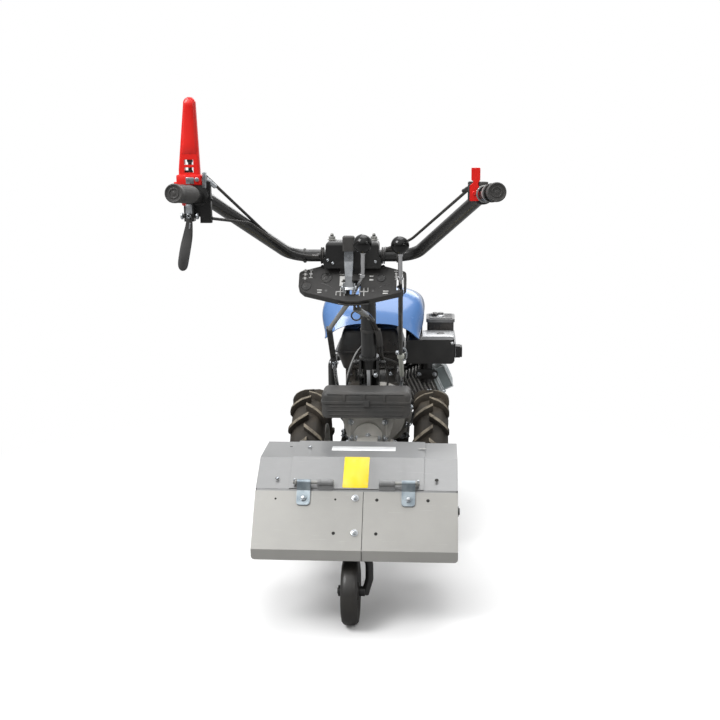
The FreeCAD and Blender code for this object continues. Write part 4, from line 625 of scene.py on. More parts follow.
def wheel_fasteners(hand, side):
    """Nuts on the wheel disc, and the valve."""
    hub, body = middle(f"tyre_{side}"), f"wheel_{side}"
    nuts = [hub + Vector((hand * 0.020, *on_circle(0.052, 45 + 90 * k))) for k in range(4)]
    piece(f"wheel_nuts_{side}", body, "zinc", [hex_bolt(at, (hand, 0, 0), 18, 10) for at in nuts], bevel=0.6)
    root = hub + Vector((hand * 0.012, *on_circle(0.080, 70)))
    tip = root + Vector((hand * 0.022, *on_circle(-0.010, 70)))
    piece(f"valve_{side}", body, "grip_rubber", [
        tube([root, root.lerp(tip, 0.5), tip], 4, 16),
        turned([(0, -2), (5, -2), (5, 6), (4, 8), (0, 8)], tip, tip - root, 18)], bevel=0.4)


for make in (wheel_tread, wheel_fasteners):
    for hand, side in SIDES:
        make(hand, side)


# ---- grips and hand levers ----------------------------------------------------------------
GRIP_INNER, GRIP_OUTER = (279.0, -962.0, 1040.0), (295.4, -1076.0, 1051.6)
SLEEVE_Y = {"left": -996.0, "right": -1026.0}
CONTROL_Y = -938.0


def grip_line(hand, y):
    """Centre of a grip at this distance behind the axle."""
    x, _, z = near(GRIP_INNER, GRIP_OUTER, (y - GRIP_INNER[1]) / (GRIP_OUTER[1] - GRIP_INNER[1]))
    return hand * x, y, z


def hand_grip(hand, side):
    """Rubber sleeve with turned grooves, a flange at its root and a dished end, and the ring before it."""
    inner, outer = spot(*grip_line(hand, SLEEVE_Y[side])), spot(*grip_line(hand, GRIP_OUTER[1]))
    way, length = outer - inner, (outer - inner).length / MM
    profile = [(0, 1), (17.2, 0), (17.8, 1), (17.8, 3), (17.2, 4)]
    grooves, first, last = 10, 10, length - 18
    for k in range(grooves):
        at = first + (last - first) * k / (grooves - 1)
        profile += [(17.2, at - 1.8), (16.6, at - 1), (16.6, at + 1), (17.2, at + 1.8)]
    profile += [(r, length - back) for r, back in (
        (17.2, 13.5), (16.5, 12.5), (17.9, 10.5), (17.9, 2.6), (17.4, 0.8), (16.4, 0), (15, 0), (14.6, 1.6),
        (10.4, 2.2), (9.8, 1), (8.2, 1), (7.6, 2.4), (3.6, 2.4), (3, 1.6), (0, 1.6))]
    piece(f"grip_{side}_sleeve", "handlebar", "grip_rubber", [turned(profile, inner, way, 56)], smooth=28,
          replaces=f"grip_{side}")
    look, slot, back = {"right": ("machined_ring", "shield_bright", -18),
                        "left": ("black_plastic", "black_plastic", -13)}[side]
    piece(f"grip_{side}_ring", "handlebar", look, [turned(
        [(13.2, back), (15.8, back), (16.3, back + 1), (16.3, -0.6), (15.8, 0.4), (13.2, 0.4)], inner, way, 48)])


def stop_lever_back(low_x, top_x, rear, foot, top):
    """Raised back of the red lever: crowned rows that close in to a round end."""
    base, end = foot + 60, top - 3
    points = []
    for k in range(19):
        height = base + (end - base) * math.sin(k / 18 * math.pi / 2)
        centre = low_x + (top_x - low_x) * (height - foot) / (top - foot)
        wide = 14.5 - 5.0 * (height - base) / (top - base)
        if end - height < 10:
            wide *= math.sqrt(max(1 - max(1 - (end - height) / 10, 0) ** 2, 0.0))
        crown = 4.2 * min(1, (height - base) / 10 + 0.15) * min(1, (end - height) / 8)
        leans = [math.pi / 2 * i / 6 for i in range(-6, 7)]
        lifts = [0] + [crown * math.cos(lean) ** 0.7 for lean in leans[1:-1]] + [0]
        points.append([spot(centre + wide * math.sin(lean), rear + 0.3 - lift, height)
                       for lean, lift in zip(leans, lifts)])

    def add(build):
        rows = [[build.verts.new(p) for p in row] for row in points]
        skin_between(build, rows)
        build.faces.new(rows[0])
        build.faces.new([row[0] for row in rows] + [row[-1] for row in rows[::-1]])
        bmesh.ops.remove_doubles(build, verts=build.verts, dist=0.00002)
    return add


def stop_lever_fittings():
    """Back of the red lever, the ribs in its windows, its spring, hub, catch and the tip under the grip."""
    x, y, z = grip_line(-1, CONTROL_Y)
    rear, foot, low_x = y - 6.5, z + 20, x - 18
    for name, look, bevel, smooth, shapes in (
        ("stop_lever_back", "red_plastic", 0, 60, [stop_lever_back(low_x, x - 13, rear, foot, 1225)]),
        ("stop_lever_ribs", "red_plastic", 0.4, 35, [
            block((9.5, 1.4, 1.2), (low_x, rear + 3, foot + up)) for up in (22, 37, 52)]),
        ("stop_lever_spring", "tank_black", 0.6, 35, [
            block((3.4, 3, 15), (low_x + 1, rear + 8, foot + 32)),
            disc(5.2, -5, 5, (low_x + 1, rear + 8, foot + 47), (0, 1, 0)),
            block((8, 2.2, 2.2), (low_x - 2, rear + 8, foot + 26))]),
        ("stop_lever_hub", "red_plastic", 0.9, 35, [
            block((23.5, 1.2, 8.8), (low_x, y - 10, foot + 10)), block((4, 3, 8.5), (x - 44, y - 8, foot - 2))]),
        ("stop_lever_catch", "zinc", 0.3, 35, [
            block((8, 1, 6.2), (low_x + 2, y - 11.6, foot + 9)),
            turned([(0, 0), (4.2, 0), (4.2, 2.2), (3.4, 2.8), (0, 2.8)], (low_x + 16, y - 11, foot + 11), (0, -1, 0))]),
        ("grip_left_tip", "red_plastic", 0, 35, [
            turned([(0, 0), (5.8, 0), (6.6, 5), (5.8, 11), (3, 13), (0, 13)],
                   facing((x - 15, y - 76, z - 6), (0, 0.3, -1)) @ Matrix.Scale(0.62, 4))]),
    ):
        piece(name, "handlebar", look, shapes, bevel=bevel, smooth=smooth)


def lever_pivots():
    """Bright pins, plate and cable stop of the bracket under the left grip, and its screws."""
    x, y, z = grip_line(-1, CONTROL_Y)
    pin = [(0, 0), (6.2, 0), (6.6, 0.8), (6.6, 3.4), (5, 4.8), (0, 4.8)]
    piece("lever_pivot_pins", "handlebar", "zinc", [
        turned(pin, (x - 20 + hand * 13, y - 6, z - 40), (hand, 0, 0)) for hand in (-1, 1)] + [
        turned([(2.2, 0), (4.6, 0), (4.6, 3.6), (2.2, 3.6), (2.2, 0)], (x - 20, y - 16, z - 39), (0, -1, 0)),
        block((8.5, 1.2, 9), (x - 20, y - 12.5, z - 26))], bevel=0.3)
    piece("cable_stop_left", "handlebar", "zinc", [
        block((3.6, 4, 15), (x + 12, y - 7, z + 30)),
        turned([(3.2, -14), (5, -14), (5, -4), (4.2, -2), (4.2, 10), (3.2, 12)], (x + 22, y + 8, z + 22),
               (0.55, 0.40, -0.55))], bevel=0.4)
    piece("bracket_screws", "handlebar", "tube_black", [
        pan_head((x + 23, y - 5, z - down), (0.2, -1, 0), 7.5, 3) for down in (8, 44)])


def squeeze_blade():
    """Long flat blade of the squeeze lever, broader and round at its end, and its cable's end."""
    x, y, z = grip_line(-1, CONTROL_Y)
    edge = [(-25, -30), (-26.5, -52), (-31.5, -72), (-36.5, -92), (-40.2, -118), (-40.6, -132), (-37.5, -140),
            (-31.5, -143.4), (-25.2, -141.5), (-21.4, -135), (-18.8, -119), (-15.2, -92), (-13.6, -74), (-13.6, -52),
            (-15, -30)]
    outline = smooth_route([(across, 0, up) for across, up in edge], 4)

    def bowed(side):
        return [spot(x + p.x, y - 10 - max(-30 - p.z, 0) * 0.15 - max(-84 - p.z, 0) * 0.22 + side, z + p.z)
                for p in outline]
    piece("squeeze_blade", "handlebar", "tank_black", [solid_between(bowed(-2.6), bowed(2.6))],
          bevel=1.6, segments=3, replaces="squeeze_lever")
    piece("squeeze_cable_end", "handlebar", "zinc", [
        block((1.4, 0.6, 6), placed(x - 18.5, y - 17.5, z - 58, 12, "Y"))], bevel=0.2)


def throttle_fittings():
    """Pivot screw, cover, clamp ring and cable stop of the throttle on the right arm."""
    x, y, z = grip_line(1, CONTROL_Y)
    along_grip = spot(*grip_line(1, -980)) - spot(*grip_line(1, -960))
    piece("throttle_pivot", "handlebar", "red_plastic", [pan_head((x - 17, y - 15.3, z + 3), (0, -1, 0), 8.5, 2.4)])
    piece("throttle_cover", "handlebar", "cowl_black", [
        block((8.5, 3.4, 16.5), (x + 0.5, y - 13.5, z + 8)), block((2.6, 3.4, 16.5), (x - 26, y - 11.5, z + 4))],
        bevel=1)
    piece("throttle_ring", "handlebar", "axle_steel", [
        ring(13.8, 16.8, 0, 4.5, grip_line(1, -955), along_grip, 48)], bevel=0.4)
    piece("cable_stop_right", "handlebar", "tube_black", [
        turned([(3.1, -6), (4.6, -6), (4.6, 4), (3.8, 6), (3.8, 16), (3.1, 17)], (x - 29, y + 8, z + 10),
               (-0.5, 0.75, -0.32))])


for hand, side in SIDES:
    hand_grip(hand, side)
stop_lever_fittings()
lever_pivots()
squeeze_blade()
throttle_fittings()


# ---- gear levers and the gate plate -------------------------------------------------------
PANEL_FACE = placed(0, -652, 815, 52) @ Matrix.Translation((0, 0, 0.005))
LEVER_BALLS = ((28.0, -702.0, 915.0), (108.0, -702.0, 911.0))
LEVER_FEET = ((-3.0, -641.0, 784.0), (107.0, -640.0, 797.0))


def gear_lever(number):
    """Bright rod with a collar under its knob, and the slim rod with a nut below it."""
    knob, foot = Vector(LEVER_BALLS[number]), Vector(LEVER_FEET[number])
    bend = Vector((knob.x + (foot.x - knob.x) * 0.12, knob.y + 20, knob.z - 74))
    line = smooth_route([spot(*p) for p in (knob, knob.lerp(bend, 0.5), bend, bend.lerp(foot, 0.5), foot)], 6)
    split = 12
    down = (line[split + 1] - line[split]).normalized()
    piece(f"gear_lever_{number + 1}_rod", "chassis", "chrome", [
        tube(line[:split + 1], 4.9, 22),
        turned([(0, 16), (6.2, 17), (6.6, 19), (6.6, 23.5), (5.8, 25), (0, 25)], spot(*knob), line[3] - line[0], 32)],
        replaces=None if number else "shift_rods")
    piece(f"gear_lever_{number + 1}_foot", "chassis", "chrome", [
        tube(line[split:], 4.2, 18), hex_bolt(line[split] + down * 0.004, -down, 11, 9, washer=False, dome=False)],
        bevel=0.3)


def gear_knobs():
    """Polished balls. The left one is larger and stands nearer to the one who walks behind."""
    sizes = ((21, 8), (20, 0))
    piece("gear_knobs", "chassis", "knob_black", [
        ball(r, (x, y - nearer, z), None, 24, 48) for (r, nearer), (x, y, z) in zip(sizes, LEVER_BALLS)],
        smooth=60, replaces="ball_knobs")


def on_panel(x, y, z=0.0):
    """Placement on the gate plate's face."""
    return PANEL_FACE @ Matrix.Translation(Vector((x, y, z)) * MM)


def painted_bars(bars, thickness=0.25):
    """Bars on the gate plate: (x0, y0, x1, y1, width) on its face."""
    shapes = []
    for x0, y0, x1, y1, width in bars:
        side = Vector((y0 - y1, x1 - x0)).normalized() * width / 2
        corners = [(x0 - side.x, y0 - side.y), (x1 - side.x, y1 - side.y), (x1 + side.x, y1 + side.y),
                   (x0 + side.x, y0 + side.y)]
        shapes.append(prism(corners, on_panel(0, 0, 0.1), thickness))
    return shapes


def gate_marks():
    """Shift patterns and plain direction signs in white paint, a blank sign and faint arcs."""
    gate_left = [(-35.1, -18.3, -16.7, -18.3, 1.8), (-35.1, -17.4, -35.1, -27.8, 1.8),
                 (-25.8, -8.6, -25.8, -29.3, 1.8), (-16.7, -8.6, -16.7, -29.3, 1.8)]
    gate_right = [(16.7, -18.3, 35.6, -18.3, 1.8), (16.7, -8.6, 16.7, -29.3, 1.8), (26.6, -8.6, 26.6, -29.3, 1.8),
                  (35.6, -8.6, 35.6, -18.3, 1.8)]
    wheel = [(-106.4, 12.5 + up, -106.4, 19.0 + up, 4.6) for up in (0, 10, 20)]
    wheel += [(-112, 15.8 + up, -101, 15.8 + up, 1.2) for up in (0, 10, 20)]
    upright = [(-93.7, 17, -93.7, 37, 1.4), (97.3, 15, 97.3, 30, 2.6), (110.5, 36, 112.6, 18, 1.5),
               (112.6, 18, 114.2, -1, 1.5)]
    level = [(x0, y, x1, y, width) for x0, x1, y, width in (
        (-98, -89.4, 37, 1.6), (-97, -90.4, 27, 3.0), (-98, -89.4, 17, 1.8), (93, 101, 33.6, 1.4), (94, 100.6, 27, 1.6),
        (94, 100.6, 19, 1.6), (94.5, 100.2, 12.5, 1.2), (-78, -67, -14.5, 2.4), (-77, -68, -20.4, 2.6),
        (38, 46.5, 20.7, 3.2), (38, 46.8, 11.8, 3.6), (69, 81, -16.9, 2.4), (68.5, 80, -22.5, 2.8),
        (-29.5, -24.2, 31.6, 2.8), (-20.8, -16, 31.6, 2.8), (-29, -17, 25.8, 1.5), (13.6, 17.5, 26, 1.5),
        (13.6, 17.5, 31, 1.5), (-28.2, -17.1, 8.4, 25.2))]
    piece("gate_marks", "chassis", "mark_white", painted_bars(gate_left + gate_right + wheel + upright + level),
          smooth=20)
    blank = [(-21.6, 8.6, -16.6, 8.6, 7.0), (-24.2, 7.0, -21.0, 7.0, 3.0)]
    piece("gate_sign_blank", "chassis", "panel_dark", painted_bars(blank, 0.5), smooth=20)

    def arc(x, y, hand, k):
        return x - 13 + 6.5 * k, y - hand * 2.56 * (1.5 - k) + 1.2 * k * (1.6 - k * 0.5)
    faint = [(-60.5, -16, -55, -16, 5.5), (44, -16, 49, -16, 5.5)]
    for hand, x, y in ((-1, -57, -1), (1, 73.5, -3.5)):
        for k in range(4):
            (x0, y0), (x1, y1) = arc(x, y, hand, k), arc(x, y, hand, k + 1)
            faint.append((x0, y0, x1 - 0.5, y1, 0.9))
    piece("gate_marks_faint", "chassis", "mark_faint", painted_bars(faint), smooth=20)


def gate_buttons():
    """Round blind buttons moulded in the plate, its fixing studs and the dark sheet behind its slots."""
    button = ((0, 0.8), (0.34, 0.8), (0.40, 0.3), (0.82, 0.3), (0.88, 1.2), (0.96, 1.2), (1, 0), (0, -0.5))
    piece("gate_buttons", "chassis", "tank_black", [
        turned([(r * share, h) for share, h in button], on_panel(x, y), steps=40)
        for x, y, r in ((-58.9, 17.4, 13.3), (63.9, 16.5, 10.0), (-103.0, -4.2, 11.3))], smooth=30)
    stud = [(0, 0), (4.2, 0), (4.2, 2.2), (3.4, 3.2), (1.6, 3.4), (1.2, 2), (0, 2)]
    piece("gate_studs", "chassis", "knob_black", [
        turned(stud, on_panel(x, y)) for x, y in ((103.8, -7.0), (13.5, 2.0), (-68, 45), (68, 45))])
    thin_plate("gate_backing", rounded_outline(70, 26, 4), on_panel(4, -32, -12), 1.6, "tank_black")


def lock_lever_fittings():
    """Bright fork and pin at the foot of the lock lever, and the rivets of its grip."""
    x, y, z = -6, -671, 813
    shapes = [block((9, 1.4, 3.6), placed(x + 1, y - 7, z - 1, -35))]
    for hand in (-1, 1):
        shapes += [block((1.6, 6, 10), (x + hand * 12.4, y + 1, z)),
                   turned([(0, 0), (4.8, 0), (4.8, 2.6), (3.6, 3.6), (0, 3.6)], (x + hand * 13.8, y - 1, z),
                          (hand, 0, 0))]
    piece("lock_fork", "chassis", "zinc", shapes, bevel=0.4)
    screw_set("lock_grip_rivets", [(x, -674.4, 903), (x, -674.4, 917)], (0, -1, 0), 5, "grip_rubber", 0.2)


def clamp_fittings():
    """Studs with nuts on the cap, screws in the lower block and the bushes beside it."""
    stud = [(0, 0), (3.6, 0), (3.6, 8), (2.6, 11), (0, 11)]
    piece("clamp_nuts", "chassis", "dull_zinc", [shape for x in (-47, 47) for shape in (
        hex_bolt((x, -619, 913), (0, 0, 1), 13, 6.5, dome=False), turned(stud, (x, -619, 917), (0, 0, 1), 20))],
        bevel=0.5)
    screw_set("clamp_screws", [(-54, -650, 872), (-43, -650, 865), (52, -650, 868)], (0, -1, 0), 7, height=0.5)
    piece("clamp_bushes", "chassis", "black_plastic", [
        ring(14, 18.8, -1.2, 1.2, (x, -627, 879), (1, 0, 0)) for x in (-66, -70, 66, 70)], bevel=0.4)


def bar_clips():
    """Cable ties and stops along the handlebar."""
    piece("bar_clips", "handlebar", "black_plastic", [shape for x, r in ((-108, 16.2), (100, 15.8)) for shape in (
        ring(13.8, r, -2.2, 2.2, (x, -627, 879), (1, 0, 0)), block((2.6, 3.6, 2.8), (x, -642, 876)))], bevel=0.5)
    ferrule = [(3.1, -10), (4.4, -10), (4.4, 2), (5.6, 2), (5.6, 7), (3.1, 7)]
    piece("bar_ferrules", "handlebar", "cowl_black", [
        turned(ferrule, (-80, -644, 880), (1, 0, 0)), turned(ferrule, (80, -634, 894), (-1, 0, 0))], bevel=0.3)


gear_lever(0)
gear_lever(1)
gear_knobs()
gate_marks()
gate_buttons()
lock_lever_fittings()
clamp_fittings()
bar_clips()


# ---- selector links -----------------------------------------------------------------------
def link_eye(half, where):
    """Rounded eye of a link, its pin across the machine."""
    return turned([(0, -half), (7.8, -half), (8.6, 2 - half), (8.6, half - 2), (7.8, half), (0, half)], where,
                  (1, 0, 0), 32)


def left_link():
    """Grey rod, black flat link, clevis and bright lower rod on the left."""
    pivot, bend, pin = (-3, -641, 784), (-84, -340, 654), (-86, -200, 536)
    turn, foot = (-89, -100, 462), (-78.8, -84, 388)
    piece("link_left_rod", "chassis", "dull_zinc", [
        rod([pivot, near(pivot, bend, 0.04), near(pivot, bend, 0.5), near(pivot, bend, 0.96), bend], 5.6),
        link_eye(7, pivot)], replaces="selector_rods")
    way = spot(*pin) - spot(*bend)
    lean = Matrix.Translation(spot(*near(bend, pin, 0.42))) @ way.to_track_quat("Z", "X").to_matrix().to_4x4()
    piece("link_left_clevis", "chassis", "tube_black", [
        block((3.5, 7.4, way.length / MM * 0.47), lean), disc(8.6, -5.5, 5.5, bend, (1, 0, 0), 32),
        disc(10, -5.5, 5.5, near(bend, pin, 0.86), (1, 0, 0), 32)] + [
        block((1.8, 8.8, 16.5), placed(pin[0] + x, pin[1] + 3, pin[2] + 4, -48)) for x in (-7, 7)], bevel=1)
    piece("link_left_lower", "chassis", "zinc", [
        rod([near(pin, turn, 0.10), near(pin, turn, 0.5), turn, near(turn, foot, 0.5), foot], 4.6),
        turned([(0, -11), (5, -9), (6.6, -2), (6.6, 12), (5, 16), (0, 17)], near(pin, turn, 0.16),
               spot(*turn) - spot(*pin), 28),
        turned([(0, -11.5), (4, -11.5), (4.6, -10.5), (4.6, 10.5), (4, 11.5), (0, 11.5)], pin, (1, 0, 0))])


def right_link():
    """Black rod from the right gear lever to a ball joint, and the pale rod below it."""
    pivot, knee, pin = (107, -640, 797), (105, -590, 742), (94, -250, 572)
    turn, foot = (93, -100, 466), (78.8, -84, 388)
    piece("link_right_rod", "chassis", "tube_black", [
        rod([pivot, near(pivot, knee, 0.6), knee, near(knee, pin, 0.15), near(knee, pin, 0.5), near(knee, pin, 0.98)],
            5.4), link_eye(6, pivot)])
    piece("link_right_sleeve", "chassis", "pale_sleeve", [
        ball(10, (94, -240, 563), (0, 0.6, -0.8), 12, 28),
        rod([near(pin, turn, 0.12), near(pin, turn, 0.5), near(pin, turn, 0.8)], 6.2)])
    piece("link_right_lower", "chassis", "zinc", [
        rod([near(pin, turn, 0.78), turn, near(turn, foot, 0.5), foot], 4.6),
        hex_bolt((88.5, -252, 575), (-1, -0.2, 0.2), 10, 5),
        rod([(101, -262, 590), (107, -256, 584), (109, -246, 570), (107, -236, 556), (100, -230, 550)], 2.2, 5, 12)],
        bevel=0.3)


def link_ends():
    """Washers and split pins where the links meet the selector stubs."""
    shapes = []
    for hand in (-1, 1):
        shapes += [disc(10, 0, 1.6, (hand * x, -84, 394), (hand, 0, 0), 28) for x in (74.5, 84)]
        shapes += [turned([(0, 0), (4.5, 0), (4.5, 14), (3.5, 15), (0, 15)], (hand * 74, -84, 394), (hand, 0, 0), 20),
                   tube([(hand * 87, -84, 386), (hand * 87, -84, 394), (hand * 87, -84, 403)], 1.1, 10)]
    piece("link_end_pins", "chassis", "zinc", shapes, bevel=0.2)


# ---- column and cables --------------------------------------------------------------------
def cable_sleeves():
    """Pale conduit on the cables under the gate plate, their ferrules, a spare loop and the gear cable."""
    shapes = []
    for shift, lower in ((0, 0), (8.6, 4)):
        start, end = (4 + shift, -640, 760), (9 + shift, -150, 646 - lower)
        shapes += [rod([near(start, end, 0.03), near(start, end, 0.25), near(start, end, 0.50)], 5.6, 4, 20),
                   turned([(0, -6), (5.2, -6), (5.2, 6), (4.2, 8), (0, 8)], near(start, end, 0.92),
                          spot(*end) - spot(*start))]
    piece("cable_conduits", "chassis", "dull_zinc", shapes)
    around = [on_circle(1, 18 * k) for k in range(21)]
    piece("cable_loop", "chassis", "cowl_black", [
        tube([(-9 + 12 * c, -420 - 4 * s, 704 + 12 * s) for c, s in around], 2, 10),
        rod([(2, -424, 712), (10, -300, 690), (18, -180, 652)], 2.4, 6, 12)])
    piece("gear_cable", "chassis", "axle_steel", [
        rod([(2, -90, 620), (-3, -83, 575), (-34, -74, 536), (-54, -77, 490), (-62, -77, 450), (-57, -53, 404),
             (-44, -40, 374)], 3.5, 6, 14)])
    piece("cable_boot", "chassis", "black_plastic", [
        tube([(26, -128, 612), (30, -124, 596), (33, -116, 566)], 8.8, 18),
        ring(21.2, 22.8, -4, 4, (2, -114, 610), (0, -40, 242), 48)])


def column_fittings():
    """Bolts, post and gusset of the column's foot."""
    for name, places, way, flats, look in (
        ("column_bolt", [(21, -124, 484)], (0, -1, 0.1), 8, "zinc"),
        ("column_bolt_left", [(-17, -124, 482)], (0, -1, 0.1), 8, "tube_black"),
        ("column_pivot_nuts", [(36, -96, 514)], (1, 0, 0), 13, "tube_black"),
        ("column_pivot_head", [(-32, -96, 514)], (-1, 0, 0), 13, "tube_black"),
        ("column_base_bolts", [(x, y, 380) for x in (-27, 31) for y in (-100, -50)], (0, 0, 1), 13, "zinc"),
    ):
        bolt_set(name, places, way, flats, look=look)
    piece("column_post", "chassis", "shield_bright", [block((5, 3, 58), (1, -113, 440))], bevel=1.2)
    piece("column_gusset", "chassis", "cast_alloy", [
        prism([(-20, -28), (18, -28), (12, 4), (-4, 26)], placed(-44, -92, 404, 90), 10)], bevel=2)
    bolt_set("column_gusset_bolt", [(-42, -102.5, 398)], (0, -1, 0), 11)


# ---- toolbox and gearbox ------------------------------------------------------------------
def toolbox_mouldings():
    """Ribs of the lid's band, grooves of the tray, latch and the bright fixing bolt."""
    rear = -205.0
    piece("toolbox_ribs", "chassis", "toolbox", [
        block((3.2, 1.6, 10.5), (x, rear - 0.8, 439)) for x in (-60, -6, 48)] + [
        block((wide, 1.1, 1.1), (-2, rear - 0.4, z))
        for z, wide in ((450, 104), (429.5, 110), (416, 104), (404, 104), (392.5, 100))], bevel=0.7)
    piece("toolbox_latch", "chassis", "tank_black", [block((4, 0.6, 3.4), (-2, rear - 2.2, 431))], bevel=0.4)
    bolt_set("toolbox_bolt", [(113, -150, 402)], (1, -0.2, 0), 13)


def gearbox_fasteners():
    """Bolts of the gearbox and the bell housing, drain plug, selector seals and oil filler."""
    bolt_set("cover_bolts", [(x, -139, z) for x in (-47, 47) for z in (309, 354)], (0, -1, 0), 11)
    bolt_set("cover_arch_bolts", [(-29, -148, 311), (0, -148, 318), (29, -148, 311)], (0, -1, 0), 10)
    bolt_set("neck_bolts", [(x, -146, z) for x in (-44, 44) for z in (250, 286)], (0, -1, 0), 13)
    for hand, side in SIDES:
        flange = [on_circle(52, a) for a in range(30, 390, 60)]
        bolt_set(f"axle_flange_bolts_{side}", [(hand * 64, y, 203 + z) for y, z in flange], (hand, 0, 0), 12)
    bell = [on_circle(84, a) for a in range(20, 380, 45)]
    bolt_set("bell_bolts", [(22 + x, 103, 315 + z) for x, z in bell], (0, -1, 0), 12)
    bolt_set("drain_plug", [(0, -10, 138)], (0, 0, -1), 19)
    piece("selector_seals", "chassis", "tank_black", [
        turned([(0, 0), (13, 0), (13, 4), (10.5, 6), (0, 6)], (hand * 64.68, -84, 394), (hand, 0, 0), 32)
        for hand in (-1, 1)])
    piece("gear_oil_filler", "chassis", "black_plastic", [
        turned([(0, 0), (13, 0), (13, 6), (10, 8), (10, 16), (8.6, 18), (0, 18)], (-24, 20, 371), (0, 0, 1), 6)],
        bevel=1)


left_link()
right_link()
link_ends()
cable_sleeves()
column_fittings()
toolbox_mouldings()
gearbox_fasteners()


# ---- engine -------------------------------------------------------------------------------
CRANK = (22.0, 315.0)
CYLINDER_TILT = 25
HEAD_X, HEAD_Z = on_circle(1, CYLINDER_TILT)


def along_head(out, y, up):
    """Point on the tilted cylinder: out from the crank, along Y, and up from its axis."""
    return CRANK[0] + out * HEAD_X - up * HEAD_Z, y, CRANK[1] + out * HEAD_Z + up * HEAD_X


def silencer_fittings():
    """Screw and neck nuts of the silencer, its port flange, outlet frame with a dark plate of painted shade in its
    mouth, and the folded guard edge.
    """
    bolt_set("silencer_bolt", [(233, 113.2, 525)], (0, -1, 0.1), 6, look="shield_bright")
    bolt_set("silencer_neck_nuts", [(135, 173, 417), (181, 173, 417)], (0, -1, 0), 9)
    x, y, z = 256, 144, 496
    piece("silencer_ports", "chassis", "heat_black", [
        prism(rounded_outline(66, 30, 12), placed(158, 180, 417, 90), 6),
        prism(rounded_outline(32, 34, 4), placed(x, y, z, 90, "Y"), 6)], bevel=1.2)
    piece("silencer_darks", "chassis", "tank_black", [
        # thin dark plate on the outlet frame's face: painted shade where the outlet opens
        prism(rounded_outline(24, 26, 3), placed(x + 5.9, y, z, 90, "Y"), 0.4),
        turned([(0, 2.2), (6, 2.2), (8.5, 1.2), (9.5, 0), (0, 0)],
               placed(199, 158, 545) @ Matrix.Diagonal((1.25, 1, 1, 1)), steps=32)], bevel=0.1)
    outer = [(146, 545), (228, 545), (236, 542), (241.5, 535), (243, 524), (243, 480)]
    inner = [(146, 544.2), (227.6, 544.2), (235.4, 541.4), (240.8, 534.7), (242.2, 524), (242.2, 480)]
    piece("silencer_guard", "chassis", "shield_bright", [prism(outer + inner[::-1], placed(0, 209, 0, 90), 96)],
          smooth=50)


def rocker_fittings():
    """Raised frame, a rim coloured with painted highlight, a dark side panel of painted shade inside it, and bolts of
    the rocker cover, and the spark plug below it.
    """
    face = (placed(*along_head(223, 240, 0), -CYLINDER_TILT, "Y") @ Matrix.Rotation(math.radians(90), 4, "Y"))
    rims = [(rounded_outline(width, height, r), grow, lift) for width, height, r, grow, lift in (
        (40, 56, 6, 1, 1.6), (32, 48, 4, 1, 1.6), (32, 48, 4, 0.97, -0.4), (40, 56, 6, 1.03, -0.4))]

    def raised_frame(build):
        rows = [[build.verts.new(face @ (Vector((x * grow, y * grow, lift)) * MM)) for x, y in rim]
                for rim, grow, lift in rims]
        skin_between(build, rows + rows[:1], closed=True)
    piece("rocker_frame", "chassis", "rocker_silver", [raised_frame], bevel=0.4)
    # the rim's pale colour is a painted highlight along the cover's edge
    rim = [along_head(out, 195.4, up) for out, up in ((191, 35), (221, 35), (221, -35), (191, -35))]
    piece("rocker_rim", "chassis", "rocker_rim_highlight", [
        tube([a, near(a, b, 0.5), b], 1.7, 10) for a, b in zip(rim, rim[1:] + rim[:1])] + [
        tube([along_head(187, 187.2, up) for up in (43, 0, -43)], 2, 10)])
    # thin dark panel inside the frame: painted shade
    panel = [along_head(out, 195.6, up) for out, up in ((192, 34), (220, 34), (220, -34), (192, -34))]
    piece("rocker_inner_panel_painted_shade", "chassis", "rocker_painted_shade", [
        solid_between([spot(*p) for p in panel], [spot(x, 196.4, z) for x, _, z in panel])])
    bolt_set("rocker_bolts", [along_head(188.5, 240 + a * 48, b * 38.5) for a in (-1, 1) for b in (-1, 1)],
             (HEAD_X, 0, HEAD_Z), 8)
    root, away = spot(*along_head(150, 186, -20)), Vector((0.23, -1, 0.1))
    piece("spark_plug", "chassis", "zinc", [disc(9.5, -4, 4, root, away, 6), disc(5.2, 4, 10, root, away)], bevel=0.3)
    step = away.normalized() * 0.010
    tip = root + step
    lead = [tip + step * 2, tip + step * 3 + Vector((0, 0, 0.006)), (140, 150, 350), (112, 160, 330), (96, 175, 335)]
    piece("spark_boot", "chassis", "cowl_black", [
        turned([(0, -2), (7.8, -2), (8.4, 2), (7.2, 12), (6.6, 20), (4.6, 24), (0, 24)], tip, away, 28),
        rod(lead, 3.4, 6, 14)])


